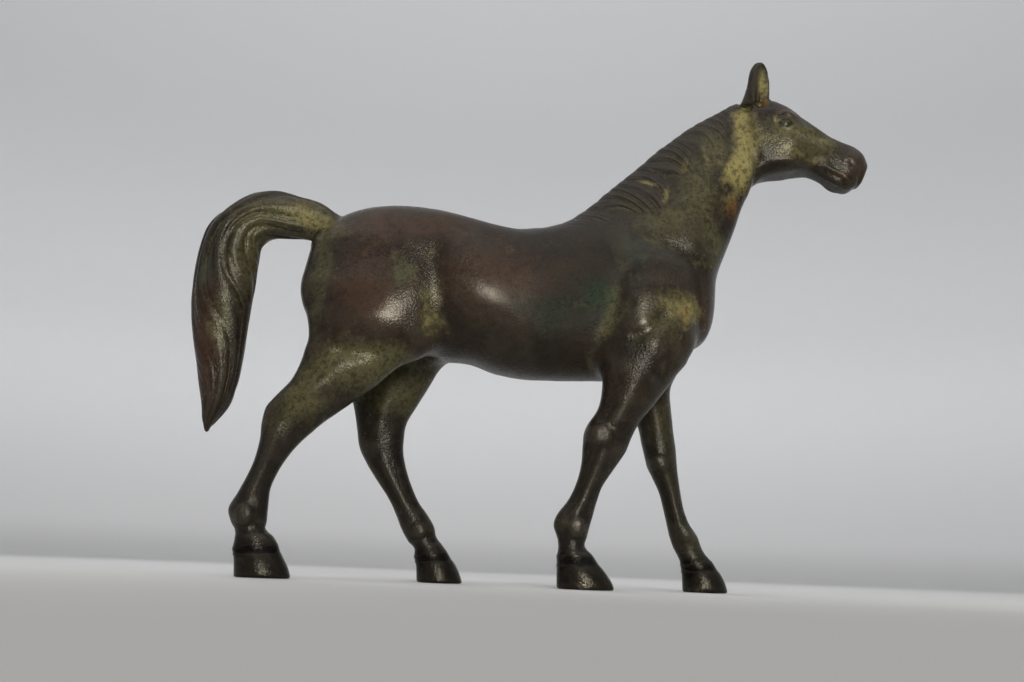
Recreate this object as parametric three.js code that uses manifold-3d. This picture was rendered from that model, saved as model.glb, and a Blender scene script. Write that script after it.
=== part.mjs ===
// A walking horse, cast in bronze as one piece. Millimetres, +Z up. The horse faces +X and its right side
// is -Y. The origin is on the ground, under the middle of the horse's bounding box.
//
// The body is one continuous skin. Each form (barrel, neck, head, leg, tail) is a run of cross-sections
// seen from the side, and gives a rough distance to its own surface. The forms are blended where they
// join, the muscles are raised or sunk in the blend, and the surface where the distance is zero is
// meshed, thinned and cut flat under the hooves.
import * as THREE from "three";
import { mergeVertices } from "three/addons/utils/BufferGeometryUtils.js";
import Module from "manifold-3d";

const { clamp, smoothstep } = THREE.MathUtils;

// Driving dimensions
const LENGTH = 206; // nose to the back of the tail
const HEIGHT = 163; // soles to the tips of the ears
const BREADTH = 42; // across the barrel, the widest place
const CELL = 1.3; // grid spacing of the first, fine mesh
const TRIANGLES = 9400; // triangles left after thinning
const MARGIN = 7.5; // room round the horse in the grid
const CLEAR = 0.3; // no corner of the skin is nearer to the ground plane than this before the cut
const FULLER = 0.25; // how far the skin lies outside the forms, because flat facets cut across their curves
const REACH = 12; // a form has no say further away than this from its own surface
const MIDLINE = { from: 1.5, to: 5 }; // the muscles fade in between these distances from the middle plane
const FAR_EAR_AHEAD = 1.4; // how much further forward the far ear stands
const MANE = {
  locks: 15, // in the row along the crest
  lean: 0.2, // how far they lean forwards as they leave the crest
  curl: 0.2, // and how far they curl back further down
  height: 0.75,
  point: 0.45, // length of a lock's pointed end, in half depths of the neck
  sway: { size: 0.4, waves: 23, atCrest: 0.3 },
  reach: { withers: 0.1, middle: 0.95, ears: 0.55 }, // how far down the neck they come
};
const TAIL_HAIR = {
  locks: 4, // on each side
  height: 1.0,
  level: 0.6, // where the tail's own skin lies between the grooves and the locks' backs
  drift: { size: 1.1, waves: 4.4, start: 0.4 }, // how the locks cross from side to side
  ripple: { size: 0.4, waves: 12, turns: 5 },
  tip: 0.35, // share of the height that is left at the tail's tip
};
const LOCK = { narrowest: 0.25, fadeIn: 0.4 }; // a lock's share of the pitch at its point, where it starts
const BELOW = { from: -0.2, to: 0.7 }; // a section gets squarer between these places across it
const FOLD_ENDS = 0.25; // a crease fades in and out over this share of its length

// Sections, from one end of a form to the other. A section is a chord of the outline, from its front or
// upper end to its back or lower end, with the form's half width there: [front x, front z, back x, back
// z, middle y, half width].
const TRUNK = [
  [-63.0, 104.4, -64.5, 74.0, 0, 12.0],
  [-58.0, 108.4, -59.0, 72.0, 0, 14.8],
  [-50.0, 111.0, -50.0, 70.0, 0, 16.8],
  [-40.0, 111.8, -39.0, 67.5, 0, 18.2],
  [-30.0, 111.0, -28.0, 65.0, 0, 18.8],
  [-21.0, 109.0, -19.0, 64.2, 0, 19.2],
  [-12.0, 106.8, -11.0, 61.6, 0, 18.8],
  [-3.0, 105.7, -3.0, 60.2, 0, 17.7],
  [7.0, 107.0, 7.0, 60.0, 0, 16.3],
  [17.0, 107.7, 17.0, 60.3, 0, 15.6],
  [27.0, 108.0, 27.0, 60.8, 0, 17.0],
  [36.0, 103.0, 37.0, 61.8, 0, 16.2],
  [43.0, 97.0, 43.5, 66.0, 0, 13.4],
  [47.2, 92.0, 48.0, 72.6, 0, 9.0],
];
const NECK = [
  [7.0, 101.5, 43.0, 68.0, 0, 8.0],
  [12.4, 110.6, 48.8, 76.0, 0, 10.6],
  [19.0, 117.0, 52.2, 83.5, 0, 11.6],
  [25.0, 122.6, 54.4, 91.5, 0, 11.0],
  [31.2, 128.2, 57.0, 98.5, 0, 9.8],
  [37.4, 134.1, 59.3, 104.6, 0, 8.8],
  [43.7, 139.3, 61.4, 110.2, 0, 8.0],
  [50.1, 144.0, 63.0, 115.5, 0, 7.4],
  [56.4, 147.9, 64.6, 120.0, 0, 7.0],
  [61.9, 151.2, 67.0, 124.0, 0, 6.8],
];
const HEAD = [
  [66.5, 151.2, 66.5, 127.0, 0, 6.4],
  [72.0, 152.1, 69.8, 126.4, 0, 7.3],
  [76.0, 150.7, 74.0, 127.0, 0, 7.7],
  [79.4, 148.6, 77.2, 127.6, 0, 7.7],
  [82.9, 145.6, 80.2, 128.2, 0, 6.8],
  [87.0, 142.9, 84.0, 128.2, 0, 5.5],
  [91.0, 140.4, 87.5, 126.8, 0, 4.9],
  [95.0, 138.9, 90.6, 124.8, 0, 4.7],
  [98.5, 137.5, 93.6, 123.3, 0, 4.8],
  [101.2, 135.2, 96.4, 123.0, 0, 4.4],
  [102.4, 132.2, 99.0, 124.6, 0, 3.2],
];
const EAR = [
  [71.8, 149.9, 62.6, 148.9, 3.4, 3.0],
  [71.6, 153.1, 63.8, 152.3, 3.6, 2.8],
  [71.6, 156.5, 64.7, 155.3, 3.8, 2.6],
  [71.5, 159.6, 65.2, 158.5, 4.0, 2.3],
  [71.0, 161.8, 65.8, 160.9, 4.1, 2.0],
  [70.2, 163.1, 66.8, 162.6, 4.1, 1.5],
];
const NEAR_FORE = [
  [40.0, 84.0, 27.0, 86.0, -6.5, 5.4],
  [46.0, 71.0, 21.5, 74.0, -10.4, 7.4],
  [41.2, 60.8, 19.8, 65.0, -11.5, 7.2],
  [35.5, 52.6, 20.0, 57.0, -11.6, 6.2],
  [31.0, 46.8, 18.9, 50.2, -11.6, 5.2],
  [28.3, 42.0, 15.8, 44.6, -11.4, 4.7],
  [26.8, 37.8, 14.8, 40.0, -11.2, 4.6],
  [23.2, 32.3, 14.5, 34.4, -11.0, 3.8],
  [20.4, 27.8, 13.2, 29.0, -11.0, 3.3],
  [19.1, 23.9, 11.1, 24.2, -11.0, 3.3],
  [18.0, 20.0, 8.1, 20.2, -11.0, 3.8],
  [17.2, 17.0, 7.1, 17.2, -11.0, 4.1],
  [16.4, 13.6, 8.1, 14.2, -11.0, 3.7],
  [16.0, 11.6, 8.6, 11.7, -11.0, 3.8],
  [18.4, 8.8, 8.5, 9.0, -11.0, 4.3],
  [21.5, 5.0, 8.3, 5.0, -11.0, 5.5],
  [23.8, 1.6, 8.4, 1.6, -11.0, 6.2],
  [24.6, -2.0, 8.4, -2.0, -11.0, 6.5],
];
const FAR_FORE = [
  [41.0, 84.0, 29.0, 86.0, 6.5, 5.4],
  [46.0, 72.0, 26.0, 74.0, 10.4, 7.2],
  [43.2, 62.0, 27.5, 64.0, 11.5, 6.8],
  [43.4, 54.0, 30.5, 55.5, 11.6, 5.8],
  [44.0, 48.0, 33.0, 49.2, 11.6, 5.0],
  [44.5, 42.8, 34.5, 43.6, 11.4, 4.6],
  [45.0, 38.0, 35.6, 38.6, 11.2, 4.5],
  [45.5, 33.4, 37.4, 33.8, 11.0, 3.8],
  [46.2, 28.8, 39.6, 29.0, 11.0, 3.3],
  [47.1, 24.2, 40.9, 24.4, 11.0, 3.2],
  [48.7, 19.9, 41.9, 20.0, 11.0, 3.5],
  [51.2, 16.2, 42.8, 16.2, 11.0, 3.8],
  [52.3, 13.2, 44.0, 12.6, 11.0, 3.5],
  [53.8, 10.8, 45.3, 10.2, 11.0, 3.6],
  [55.8, 8.4, 46.4, 8.0, 11.0, 4.1],
  [58.2, 5.0, 46.6, 4.8, 11.0, 5.1],
  [59.6, 1.8, 46.7, 1.8, 11.0, 5.6],
  [60.3, -2.0, 46.8, -2.0, 11.0, 5.8],
];
const NEAR_HIND = [
  [-30.0, 97.0, -62.0, 96.0, -5.0, 6.0],
  [-26.0, 85.0, -67.1, 85.0, -8.8, 9.4],
  [-26.0, 72.5, -65.8, 75.0, -11.0, 9.4],
  [-31.5, 63.8, -64.6, 68.0, -11.6, 8.0],
  [-38.5, 59.8, -65.4, 63.6, -12.0, 7.0],
  [-45.0, 53.8, -66.6, 59.0, -12.0, 6.3],
  [-51.6, 48.8, -68.4, 54.8, -12.0, 5.5],
  [-58.0, 44.2, -71.6, 51.0, -12.0, 4.9],
  [-62.5, 39.6, -74.9, 47.0, -12.0, 4.6],
  [-65.8, 35.8, -75.8, 42.4, -12.0, 4.4],
  [-68.6, 31.8, -75.9, 37.6, -11.8, 3.8],
  [-70.4, 28.4, -76.9, 32.6, -11.6, 3.3],
  [-71.8, 24.6, -78.8, 27.4, -11.4, 3.2],
  [-72.1, 21.4, -80.9, 22.8, -11.2, 3.4],
  [-72.2, 18.2, -83.1, 18.6, -11.0, 4.0],
  [-72.2, 15.2, -82.2, 15.0, -11.0, 3.9],
  [-72.3, 13.2, -80.8, 12.6, -11.0, 3.7],
  [-70.0, 11.2, -80.6, 10.5, -11.0, 4.2],
  [-68.5, 8.6, -80.7, 7.8, -11.0, 4.5],
  [-67.0, 5.8, -80.3, 5.2, -11.0, 5.4],
  [-65.2, 2.6, -80.0, 2.4, -11.0, 6.1],
  [-63.8, -2.0, -79.7, -2.0, -11.0, 6.5],
];
const FAR_HIND = [
  [-30.0, 97.0, -60.0, 94.0, 5.0, 6.0],
  [-25.0, 85.0, -62.0, 81.0, 8.8, 9.2],
  [-25.6, 74.0, -59.5, 70.5, 11.0, 9.2],
  [-28.0, 66.2, -56.6, 62.5, 11.6, 7.6],
  [-30.8, 59.6, -54.4, 55.6, 12.0, 6.6],
  [-34.4, 53.0, -53.2, 49.4, 12.0, 5.6],
  [-37.5, 47.0, -52.3, 44.0, 12.0, 4.9],
  [-38.2, 41.6, -51.2, 39.0, 12.0, 4.6],
  [-37.8, 37.2, -49.0, 34.6, 12.0, 4.2],
  [-36.5, 32.3, -46.0, 30.2, 11.8, 3.7],
  [-34.6, 27.5, -43.2, 26.4, 11.6, 3.2],
  [-32.3, 23.2, -40.7, 22.6, 11.4, 3.2],
  [-29.4, 19.5, -38.6, 18.6, 11.2, 3.6],
  [-27.4, 16.4, -37.0, 15.0, 11.0, 3.9],
  [-26.4, 13.2, -34.9, 11.6, 11.0, 3.7],
  [-24.8, 11.2, -33.0, 9.8, 11.0, 3.8],
  [-22.9, 8.6, -32.7, 7.6, 11.0, 4.2],
  [-20.4, 5.3, -32.2, 5.0, 11.0, 5.2],
  [-18.9, 2.2, -31.9, 2.2, 11.0, 5.7],
  [-17.8, -2.0, -31.6, -2.0, 11.0, 6.0],
];
const TAIL = [
  [-57.0, 107.0, -60.0, 97.0, 0, 4.4],
  [-61.8, 109.7, -65.6, 99.8, 0, 4.6],
  [-66.7, 112.4, -69.6, 101.0, 0, 5.0],
  [-73.1, 114.2, -74.4, 101.2, 0, 5.4],
  [-80.0, 115.7, -79.0, 101.0, 0, 6.0],
  [-87.6, 114.6, -82.2, 100.4, 0, 6.4],
  [-95.4, 109.6, -84.0, 98.0, 0, 6.8],
  [-100.5, 103.1, -84.4, 93.2, 0, 7.0],
  [-102.4, 94.2, -84.6, 87.4, 0, 7.0],
  [-103.0, 83.9, -85.3, 80.0, 0, 6.8],
  [-102.2, 73.9, -85.9, 71.6, 0, 6.4],
  [-100.6, 64.9, -86.3, 63.4, 0, 5.8],
  [-98.8, 56.9, -87.0, 55.6, 0, 5.0],
  [-97.1, 49.9, -88.8, 49.2, 0, 4.0],
  [-96.3, 44.8, -91.8, 44.6, 0, 2.6],
  [-95.4, 42.2, -94.0, 42.1, 0, 1.4],
];

// Muscles on both sides of the horse: [x, z, radius along x, radius along z, height].
const SWELLS = [
  [-44, 76, 14, 11, 1.1],
  [-52, 98, 10, 8, 0.6],
  [-38, 88, 4, 7, -0.4],
  [-31, 67, 5, 4, 0.5],
  [-13, 81, 10, 9, 0.7],
  [29.5, 75.5, 7.5, 6.5, 1.2],
  [34.5, 66.5, 4, 5, 0.8],
  [45, 80, 6, 10, 1.2],
  [32, 87, 9, 9, 0.6],
  [23, 99, 8, 5, 0.4],
  [47, 103, 8, 9, 0.5],
  [77.5, 134.5, 6, 6, 0.9],
  [96.5, 130.5, 3.5, 4, 0.7],
  [76.9, 143.2, 1.9, 1.5, 0.9],
  [30.4, 74.6, 4.5, 3.6, -0.3],
];

// Bony knobs at the knees and fetlocks, with flat tops, in the same way.
const KNOBS = [
  [18.8, 42.0, 3.2, 2.8, 1.3],
  [13.6, 16.6, 2.2, 2.6, 1.0],
  [38.8, 37.1, 2.6, 2.4, 1.0],
  [47.6, 17.0, 2.0, 2.2, 0.5],
  [-78.0, 16.8, 2.4, 2.6, 1.0],
  [-31.5, 14.8, 2.0, 2.2, 0.5],
];

// Hollows and creases: points along one in the side view, its depth and its width. A ridge has a negative
// depth.
const FOLDS = [
  { depth: 1.1, width: 4.5, points: [[-31, 100], [-29.5, 89], [-28, 77], [-25, 66]] },
  { depth: 1.1, width: 2.6, points: [[-59, 64], [-51, 62.5], [-42, 63.5], [-33, 67]] },
  { depth: 0.5, width: 2.4, points: [[-60, 98], [-63, 86], [-61.5, 72], [-56, 62]] },
  { depth: 1.0, width: 3.6, points: [[29, 97], [24.5, 87], [22, 76], [20, 64]] },
  { depth: 0.9, width: 1.9, points: [[24, 69.6], [29.5, 70.4], [33.5, 72.4], [36.5, 76], [38, 81]] },
  { depth: 0.7, width: 1.8, points: [[43, 73], [39.3, 69.3], [37, 63], [34.5, 57]] },
  { depth: 0.7, width: 2.4, points: [[25, 102.5], [35, 100], [44, 96.5], [50, 91]] },
  { depth: 1.0, width: 3.0, points: [[63, 130], [60, 119.5], [55.5, 109], [50, 97]] },
  { depth: 1.4, width: 2.2, points: [[61.5, 146], [64, 139], [65.5, 132], [67, 127]] },
  { depth: 0.5, width: 1.2, points: [[87.3, 129.0], [90.3, 126.9], [93.3, 125.4], [95.0, 122.9]] },
  { depth: -0.6, width: 1.5, points: [[79.0, 137.6], [84.0, 135.3], [89.5, 133.6]] },
  { depth: 1.3, width: 1.9, points: [[68.3, 147.5], [69.0, 155.5], [70.0, 162.5]] },
];

// Steps between two given sections when a form is sampled.
const STEPS = 8;
// Nearer to a form's axis than this share of its section, the distance no longer matters.
const NEAR_AXIS = 0.1;
// Steps between two given points when a crease is sampled.
const CREASE_STEPS = 4;
// Most sections that the search for the one through a point walks over.
const WALK = 4 * STEPS;

// Middle, unit chord, half depth, middle y and half width of one section.
function section(fx, fz, bx, bz, y, width) {
  const chord = Math.hypot(fx - bx, fz - bz);
  const [nx, nz] = [(fx - bx) / chord, (fz - bz) / chord];
  return { x: (fx + bx) / 2, z: (fz + bz) / 2, nx, nz, depth: chord / 2, y, width };
}

// The section between two others, part of the way along.
function between(a, b, part) {
  const mixed = {};
  for (const key of Object.keys(a)) mixed[key] = a[key] + (b[key] - a[key]) * part;
  const length = Math.hypot(mixed.nx, mixed.nz);
  return { ...mixed, nx: mixed.nx / length, nz: mixed.nz / length };
}

// A form's sections, sampled along smooth curves through the given ones, and how the form is shaped: the
// length of its rounded ends, how square its sections are, how much squarer still at their back or lower
// side, how much wider they are at the front, and how softly it joins the others.
function form(rows, { cap = 3, square = 2, below = 0, egg = 0, blend = 3 } = {}) {
  const curve = (pick) => {
    const points = rows.map((row) => new THREE.Vector3(...pick(row)));
    return new THREE.CatmullRomCurve3(points, false, "catmullrom");
  };
  const front = curve(([x, z]) => [x, 0, z]);
  const back = curve(([, , x, z]) => [x, 0, z]);
  const side = curve(([, , , , y, width]) => [y, width, 0]);
  const steps = (rows.length - 1) * STEPS;
  const samples = Array.from({ length: steps + 1 }, (_, i) => {
    const f = front.getPoint(i / steps);
    const b = back.getPoint(i / steps);
    const s = side.getPoint(i / steps);
    return section(f.x, f.z, b.x, b.z, s.x, s.y);
  });
  return { samples, cap, square, below, egg, blend };
}

// The section of a form that passes through (x, z): how far along the form it is, from 0 to 1, the
// point's place across it, from -1 to 1 inside, and how far the point lies past the form's end, in cap
// lengths. The search starts at the section nearest to the point and goes on to the one whose chord runs
// through it.
function place(f, x, z) {
  const along = (s) => (z - s.z) * s.nx - (x - s.x) * s.nz;
  const off = (s) => Math.max(Math.abs((x - s.x) * s.nx + (z - s.z) * s.nz) - s.depth, 0);
  let k = 0;
  let best = Infinity;
  f.samples.forEach((s, i) => {
    const d = along(s) ** 2 + off(s) ** 2;
    if (d < best) [best, k] = [d, i];
  });
  const miss = (m) => (f.samples[m] ? Math.abs(along(f.samples[m])) : Infinity);
  for (let n = 0; n < WALK; n++) {
    const beside = [k + 1, k - 1].find((m) => miss(m) < miss(k));
    if (beside === undefined) break;
    k = beside;
  }
  const a = f.samples[k];
  const here = along(a);
  const b = f.samples[k + 1] && along(f.samples[k + 1]) * here <= 0 ? f.samples[k + 1] : f.samples[k - 1];
  const there = b ? along(b) : here;
  const crosses = here * there < 0;
  const part = crosses ? here / (here - there) : 0;
  const s = crosses ? between(a, b, part) : a;
  const isEnd = k === 0 || k === f.samples.length - 1;
  return {
    s,
    t: (k + (b === f.samples[k + 1] ? part : -part)) / (f.samples.length - 1),
    across: ((x - s.x) * s.nx + (z - s.z) * s.nz) / s.depth,
    past: isEnd && !crosses ? here / f.cap : 0,
  };
}

// The rough distance from a form's surface, at height y over a place in the side view.
function distance(f, at, y) {
  const { s } = at;
  const width = s.width * (1 + f.egg * clamp(at.across, -1, 1));
  const u = Math.abs(at.across);
  const v = Math.abs(y - s.y) / width;
  const w = Math.abs(at.past);
  const square = f.square + f.below * smoothstep(-at.across, BELOW.from, BELOW.to);
  const rho = (u ** square + v ** square + w ** square) ** (1 / square);
  if (rho < NEAR_AXIS) return -Math.min(s.depth, width);
  const power = square - 1;
  const [du, dv, dw] = [(u / rho) ** power / s.depth, (v / rho) ** power / width, (w / rho) ** power / f.cap];
  return (rho - 1) / Math.hypot(du, dv, dw);
}

// The nearer of two surfaces, melted together over a width k.
function melt(a, b, k) {
  const h = Math.max(k - Math.abs(a - b), 0) / k;
  return Math.min(a, b) - (h * h * k) / 4;
}

// A smooth line through points of the side view.
function smoothLine(points) {
  const curve = new THREE.SplineCurve(points.map(([x, z]) => new THREE.Vector2(x, z)));
  return curve.getPoints((points.length - 1) * CREASE_STEPS).map((point) => point.toArray());
}

// How far (x, z) is from a line, and how far along the line it is, from 0 to 1.
function fromLine(points, x, z) {
  let nearest = { gap: Infinity, along: 0 };
  for (let i = 1; i < points.length; i++) {
    const [ax, az] = points[i - 1];
    const [dx, dz] = [points[i][0] - ax, points[i][1] - az];
    const part = clamp(((x - ax) * dx + (z - az) * dz) / (dx * dx + dz * dz), 0, 1);
    const gap = Math.hypot(x - ax - part * dx, z - az - part * dz);
    if (gap < nearest.gap) nearest = { gap, along: (i - 1 + part) / (points.length - 1) };
  }
  return nearest;
}

// How far the flank stands out at (x, z).
function relief(x, z) {
  let out = 0;
  const away = ([cx, cz, rx, rz]) => Math.hypot((x - cx) / rx, (z - cz) / rz);
  for (const swell of SWELLS) out += swell.at(-1) * Math.exp(-(away(swell) ** 2));
  for (const knob of KNOBS) out += knob.at(-1) * Math.exp(-(away(knob) ** 4));
  for (const { depth, width, line } of creases) {
    const { gap, along } = fromLine(line, x, z);
    const fade = smoothstep(along, 0, FOLD_ENDS) * smoothstep(1 - along, 0, FOLD_ENDS);
    out -= depth * fade * Math.exp(-((gap / width) ** 2));
  }
  return out;
}

// The height across a row of locks, from 0 in a groove to 1 on a lock's back. A lock is as broad as the
// row's pitch where share is 1, and comes to a point as share goes to 0.
function lockProfile(phase, share) {
  const side = Math.abs(2 * (phase - Math.floor(phase)) - 1);
  const breadth = LOCK.narrowest + (1 - LOCK.narrowest) * share;
  return clamp(1 - (side / breadth) ** 2, 0, 1) * smoothstep(share, 0, LOCK.fadeIn);
}

// The mane's locks leave the crest forwards and curl back down the neck. They start between these places
// along it and reach furthest down its middle.
const MANE_STARTS = [0.02, 0.1];
const MANE_ENDS = 0.96;
const REACH_GROWS = [0.02, 0.5];
const REACH_SHRINKS = [0.85, 1];

function maneRelief({ t, across }) {
  const { locks, lean, curl, height, point, sway, reach } = MANE;
  const fall = clamp(1 - across, 0, 2);
  const swayed = sway.size * Math.sin(sway.waves * t) * (sway.atCrest + fall);
  const phase = locks * (t - lean * fall + curl * fall * fall) + swayed;
  const grown = reach.withers + (reach.middle - reach.withers) * smoothstep(t, ...REACH_GROWS);
  const down = grown - (reach.middle - reach.ears) * smoothstep(t, ...REACH_SHRINKS);
  const start = smoothstep(t, ...MANE_STARTS) * smoothstep(1 - t, 0, 1 - MANE_ENDS);
  return height * start * lockProfile(phase, clamp((down - fall) / point, 0, 1));
}

// The tail's locks run along it, cross from side to side as they go, and thin out towards its tip.
const TAIL_STARTS = [0.03, 0.14];
const TAIL_THINS = [0.5, 0.85];

function tailRelief({ t, across, s }, y) {
  const { locks, height, level, drift, ripple, tip } = TAIL_HAIR;
  const turn = Math.atan2(Math.abs(y) / s.width, across) / Math.PI;
  const drifted = drift.size * Math.sin(drift.waves * t + drift.start);
  const rippled = ripple.size * Math.sin(ripple.waves * t + ripple.turns * turn + Math.sign(y));
  const share = smoothstep(t, ...TAIL_STARTS) * (1 - (1 - tip) * smoothstep(t, ...TAIL_THINS));
  return height * share * (lockProfile(locks * turn + drifted + rippled, 1) - level);
}

const trunk = form(TRUNK, { cap: 5, square: 2.2, egg: -0.06 });
const neck = form(NECK, { cap: 3, egg: -0.35, blend: 8 });
const head = form(HEAD, { cap: 1.6, square: 2.3, below: 1.7, egg: 0.06, blend: 4 });
const tail = form(TAIL, { cap: 1.4, blend: 2.5 });
const legs = [NEAR_HIND, FAR_HIND, NEAR_FORE, FAR_FORE].map((rows) => form(rows, { blend: 6 }));
const ears = [[-1, 0], [1, FAR_EAR_AHEAD]].map(([side, ahead]) => {
  const rows = EAR.map(([fx, fz, bx, bz, y, width]) => [fx + ahead, fz, bx + ahead, bz, side * y, width]);
  return form(rows, { cap: 0.6, blend: 1.2 });
});
const FORMS = [trunk, neck, head, ...legs, tail, ...ears];
const creases = FOLDS.map(({ depth, width, points }) => ({ depth, width, line: smoothLine(points) }));

// The field over a grid: the distance from the skin at each node, x fastest, then y, then z.
function sampleGrid(low, [nx, ny, nz]) {
  const values = new Float32Array(nx * ny * nz);
  for (let k = 0; k < nz; k++)
    for (let i = 0; i < nx; i++) {
      const x = low[0] + i * CELL;
      const z = low[2] + k * CELL;
      const places = FORMS.map((f) => place(f, x, z));
      const isNear = ({ across, s }) => Math.abs(across) < 1 + REACH / s.depth;
      const near = FORMS.map((f, n) => n).filter((n) => isNear(places[n]));
      const flank = relief(x, z);
      const mane = maneRelief(places[FORMS.indexOf(neck)]);
      for (let j = 0; j < ny; j++) {
        const y = low[1] + j * CELL;
        let d = LENGTH;
        for (const n of near) {
          let own = distance(FORMS[n], places[n], y);
          if (FORMS[n] === neck) own -= mane;
          if (FORMS[n] === tail) own -= tailRelief(places[n], y);
          d = melt(d, own, FORMS[n].blend);
        }
        const raised = flank * smoothstep(Math.abs(y), MIDLINE.from, MIDLINE.to);
        values[i + nx * (j + ny * k)] = d - FULLER - raised;
      }
    }
  return values;
}

// Two inside corners of a grid square that only touch at its middle would pinch the skin: the weaker is
// let go, and lies this far outside from then on.
const LET_GO = 0.01;

function unpinch(values, [nx, ny]) {
  const squares = [[1, nx], [nx, nx * ny], [1, nx * ny]];
  const nodes = values.length - nx * ny - nx - 1;
  for (let changed = true; changed; ) {
    changed = false;
    for (let n = 0; n < nodes; n++)
      for (const [a, b] of squares) {
        const inside = values[n] < 0;
        const [same, left, right] = [n + a + b, n + a, n + b].map((m) => values[m] < 0 === inside);
        if (!same || left || right) continue;
        const [one, other] = inside ? [n, n + a + b] : [n + a, n + b];
        values[values[one] > values[other] ? one : other] = LET_GO;
        changed = true;
      }
  }
  return values;
}

// One vertex in each cell that the skin crosses, and one quad round each grid edge that it crosses.
function meshOf(values, low, [nx, ny, nz]) {
  const at = (i, j, k) => i + nx * (j + ny * k);
  const steps = [[1, 0, 0], [0, 1, 0], [0, 0, 1]];
  const corners = [0, 1, 2, 3, 4, 5, 6, 7].map((n) => [n & 1, (n >> 1) & 1, n >> 2]);
  const ahead = (a) => steps.filter((s, axis) => !a[axis]).map((s) => a.map((v, c) => v + s[c]));
  const edges = corners.flatMap((a) => ahead(a).map((b) => [a, b]));
  const vertexOf = new Int32Array(values.length).fill(-1);
  const points = [];
  const eachNode = (first, visit) => {
    for (let k = first; k < nz - 1; k++)
      for (let j = first; j < ny - 1; j++)
        for (let i = first; i < nx - 1; i++) visit(i, j, k);
  };
  eachNode(0, (i, j, k) => {
    const middle = new THREE.Vector3();
    let count = 0;
    for (const [a, b] of edges) {
      const va = values[at(i + a[0], j + a[1], k + a[2])];
      const vb = values[at(i + b[0], j + b[1], k + b[2])];
      if (va < 0 === vb < 0) continue;
      middle.add(new THREE.Vector3(...a).lerp(new THREE.Vector3(...b), va / (va - vb)));
      count++;
    }
    if (!count) return;
    vertexOf[at(i, j, k)] = points.length;
    middle.divideScalar(count).add(new THREE.Vector3(i, j, k));
    points.push(middle.multiplyScalar(CELL).add(new THREE.Vector3(...low)));
  });
  const faces = [];
  eachNode(1, (i, j, k) => {
    const inside = values[at(i, j, k)] < 0;
    steps.forEach((step, axis) => {
      if (inside === values[at(i + step[0], j + step[1], k + step[2])] < 0) return;
      const u = steps[(axis + 1) % 3];
      const v = steps[(axis + 2) % 3];
      const ring = [[0, 0], [1, 0], [1, 1], [0, 1]];
      const quad = ring.map(([p, q]) => vertexOf[at(...[i, j, k].map((g, c) => g - p * u[c] - q * v[c]))]);
      if (!inside) quad.reverse();
      faces.push([quad[0], quad[1], quad[2]], [quad[0], quad[2], quad[3]]);
    });
  });
  return { points, faces };
}

// The sum of the squared distances from some planes, as the ten numbers of a quadratic form.
const PAIRS = [[0, 0], [0, 1], [0, 2], [0, 3], [1, 1], [1, 2], [1, 3], [2, 2], [2, 3], [3, 3]];

function planeForm(a, b, c) {
  const normal = b.clone().sub(a).cross(c.clone().sub(a));
  const area = normal.length() / 2;
  if (area === 0) return new Array(PAIRS.length).fill(0);
  normal.normalize();
  const plane = [normal.x, normal.y, normal.z, -normal.dot(a)];
  return PAIRS.map(([i, j]) => area * plane[i] * plane[j]);
}

function squaredDistance(q, { x, y, z }) {
  const v = [x, y, z, 1];
  return PAIRS.reduce((sum, [i, j], n) => sum + (i === j ? 1 : 2) * q[n] * v[i] * v[j], 0);
}

// Where the two ends of an edge are best put together, drawn slightly to its middle.
function meeting(q, middle) {
  const pull = PULL * (q[0] + q[4] + q[7]) + Number.EPSILON;
  const [xx, yy, zz] = [q[0] + pull, q[4] + pull, q[7] + pull];
  const m = new THREE.Matrix3().set(xx, q[1], q[2], q[1], yy, q[5], q[2], q[5], zz);
  const rhs = new THREE.Vector3(-q[3], -q[6], -q[8]).addScaledVector(middle, pull);
  return rhs.applyMatrix3(m.invert());
}

// Thinning: an edge is drawn to its middle by a small share, no face turns by more than about 72 degrees
// or gets smaller than this, and each round closes at most this share of the edges, the cheapest first.
const PULL = 1e-3;
const SMALLEST_COSINE = 0.3;
const SMALLEST_FACE = 0.01;
const ROUND_SHARE = 0.25;

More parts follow.
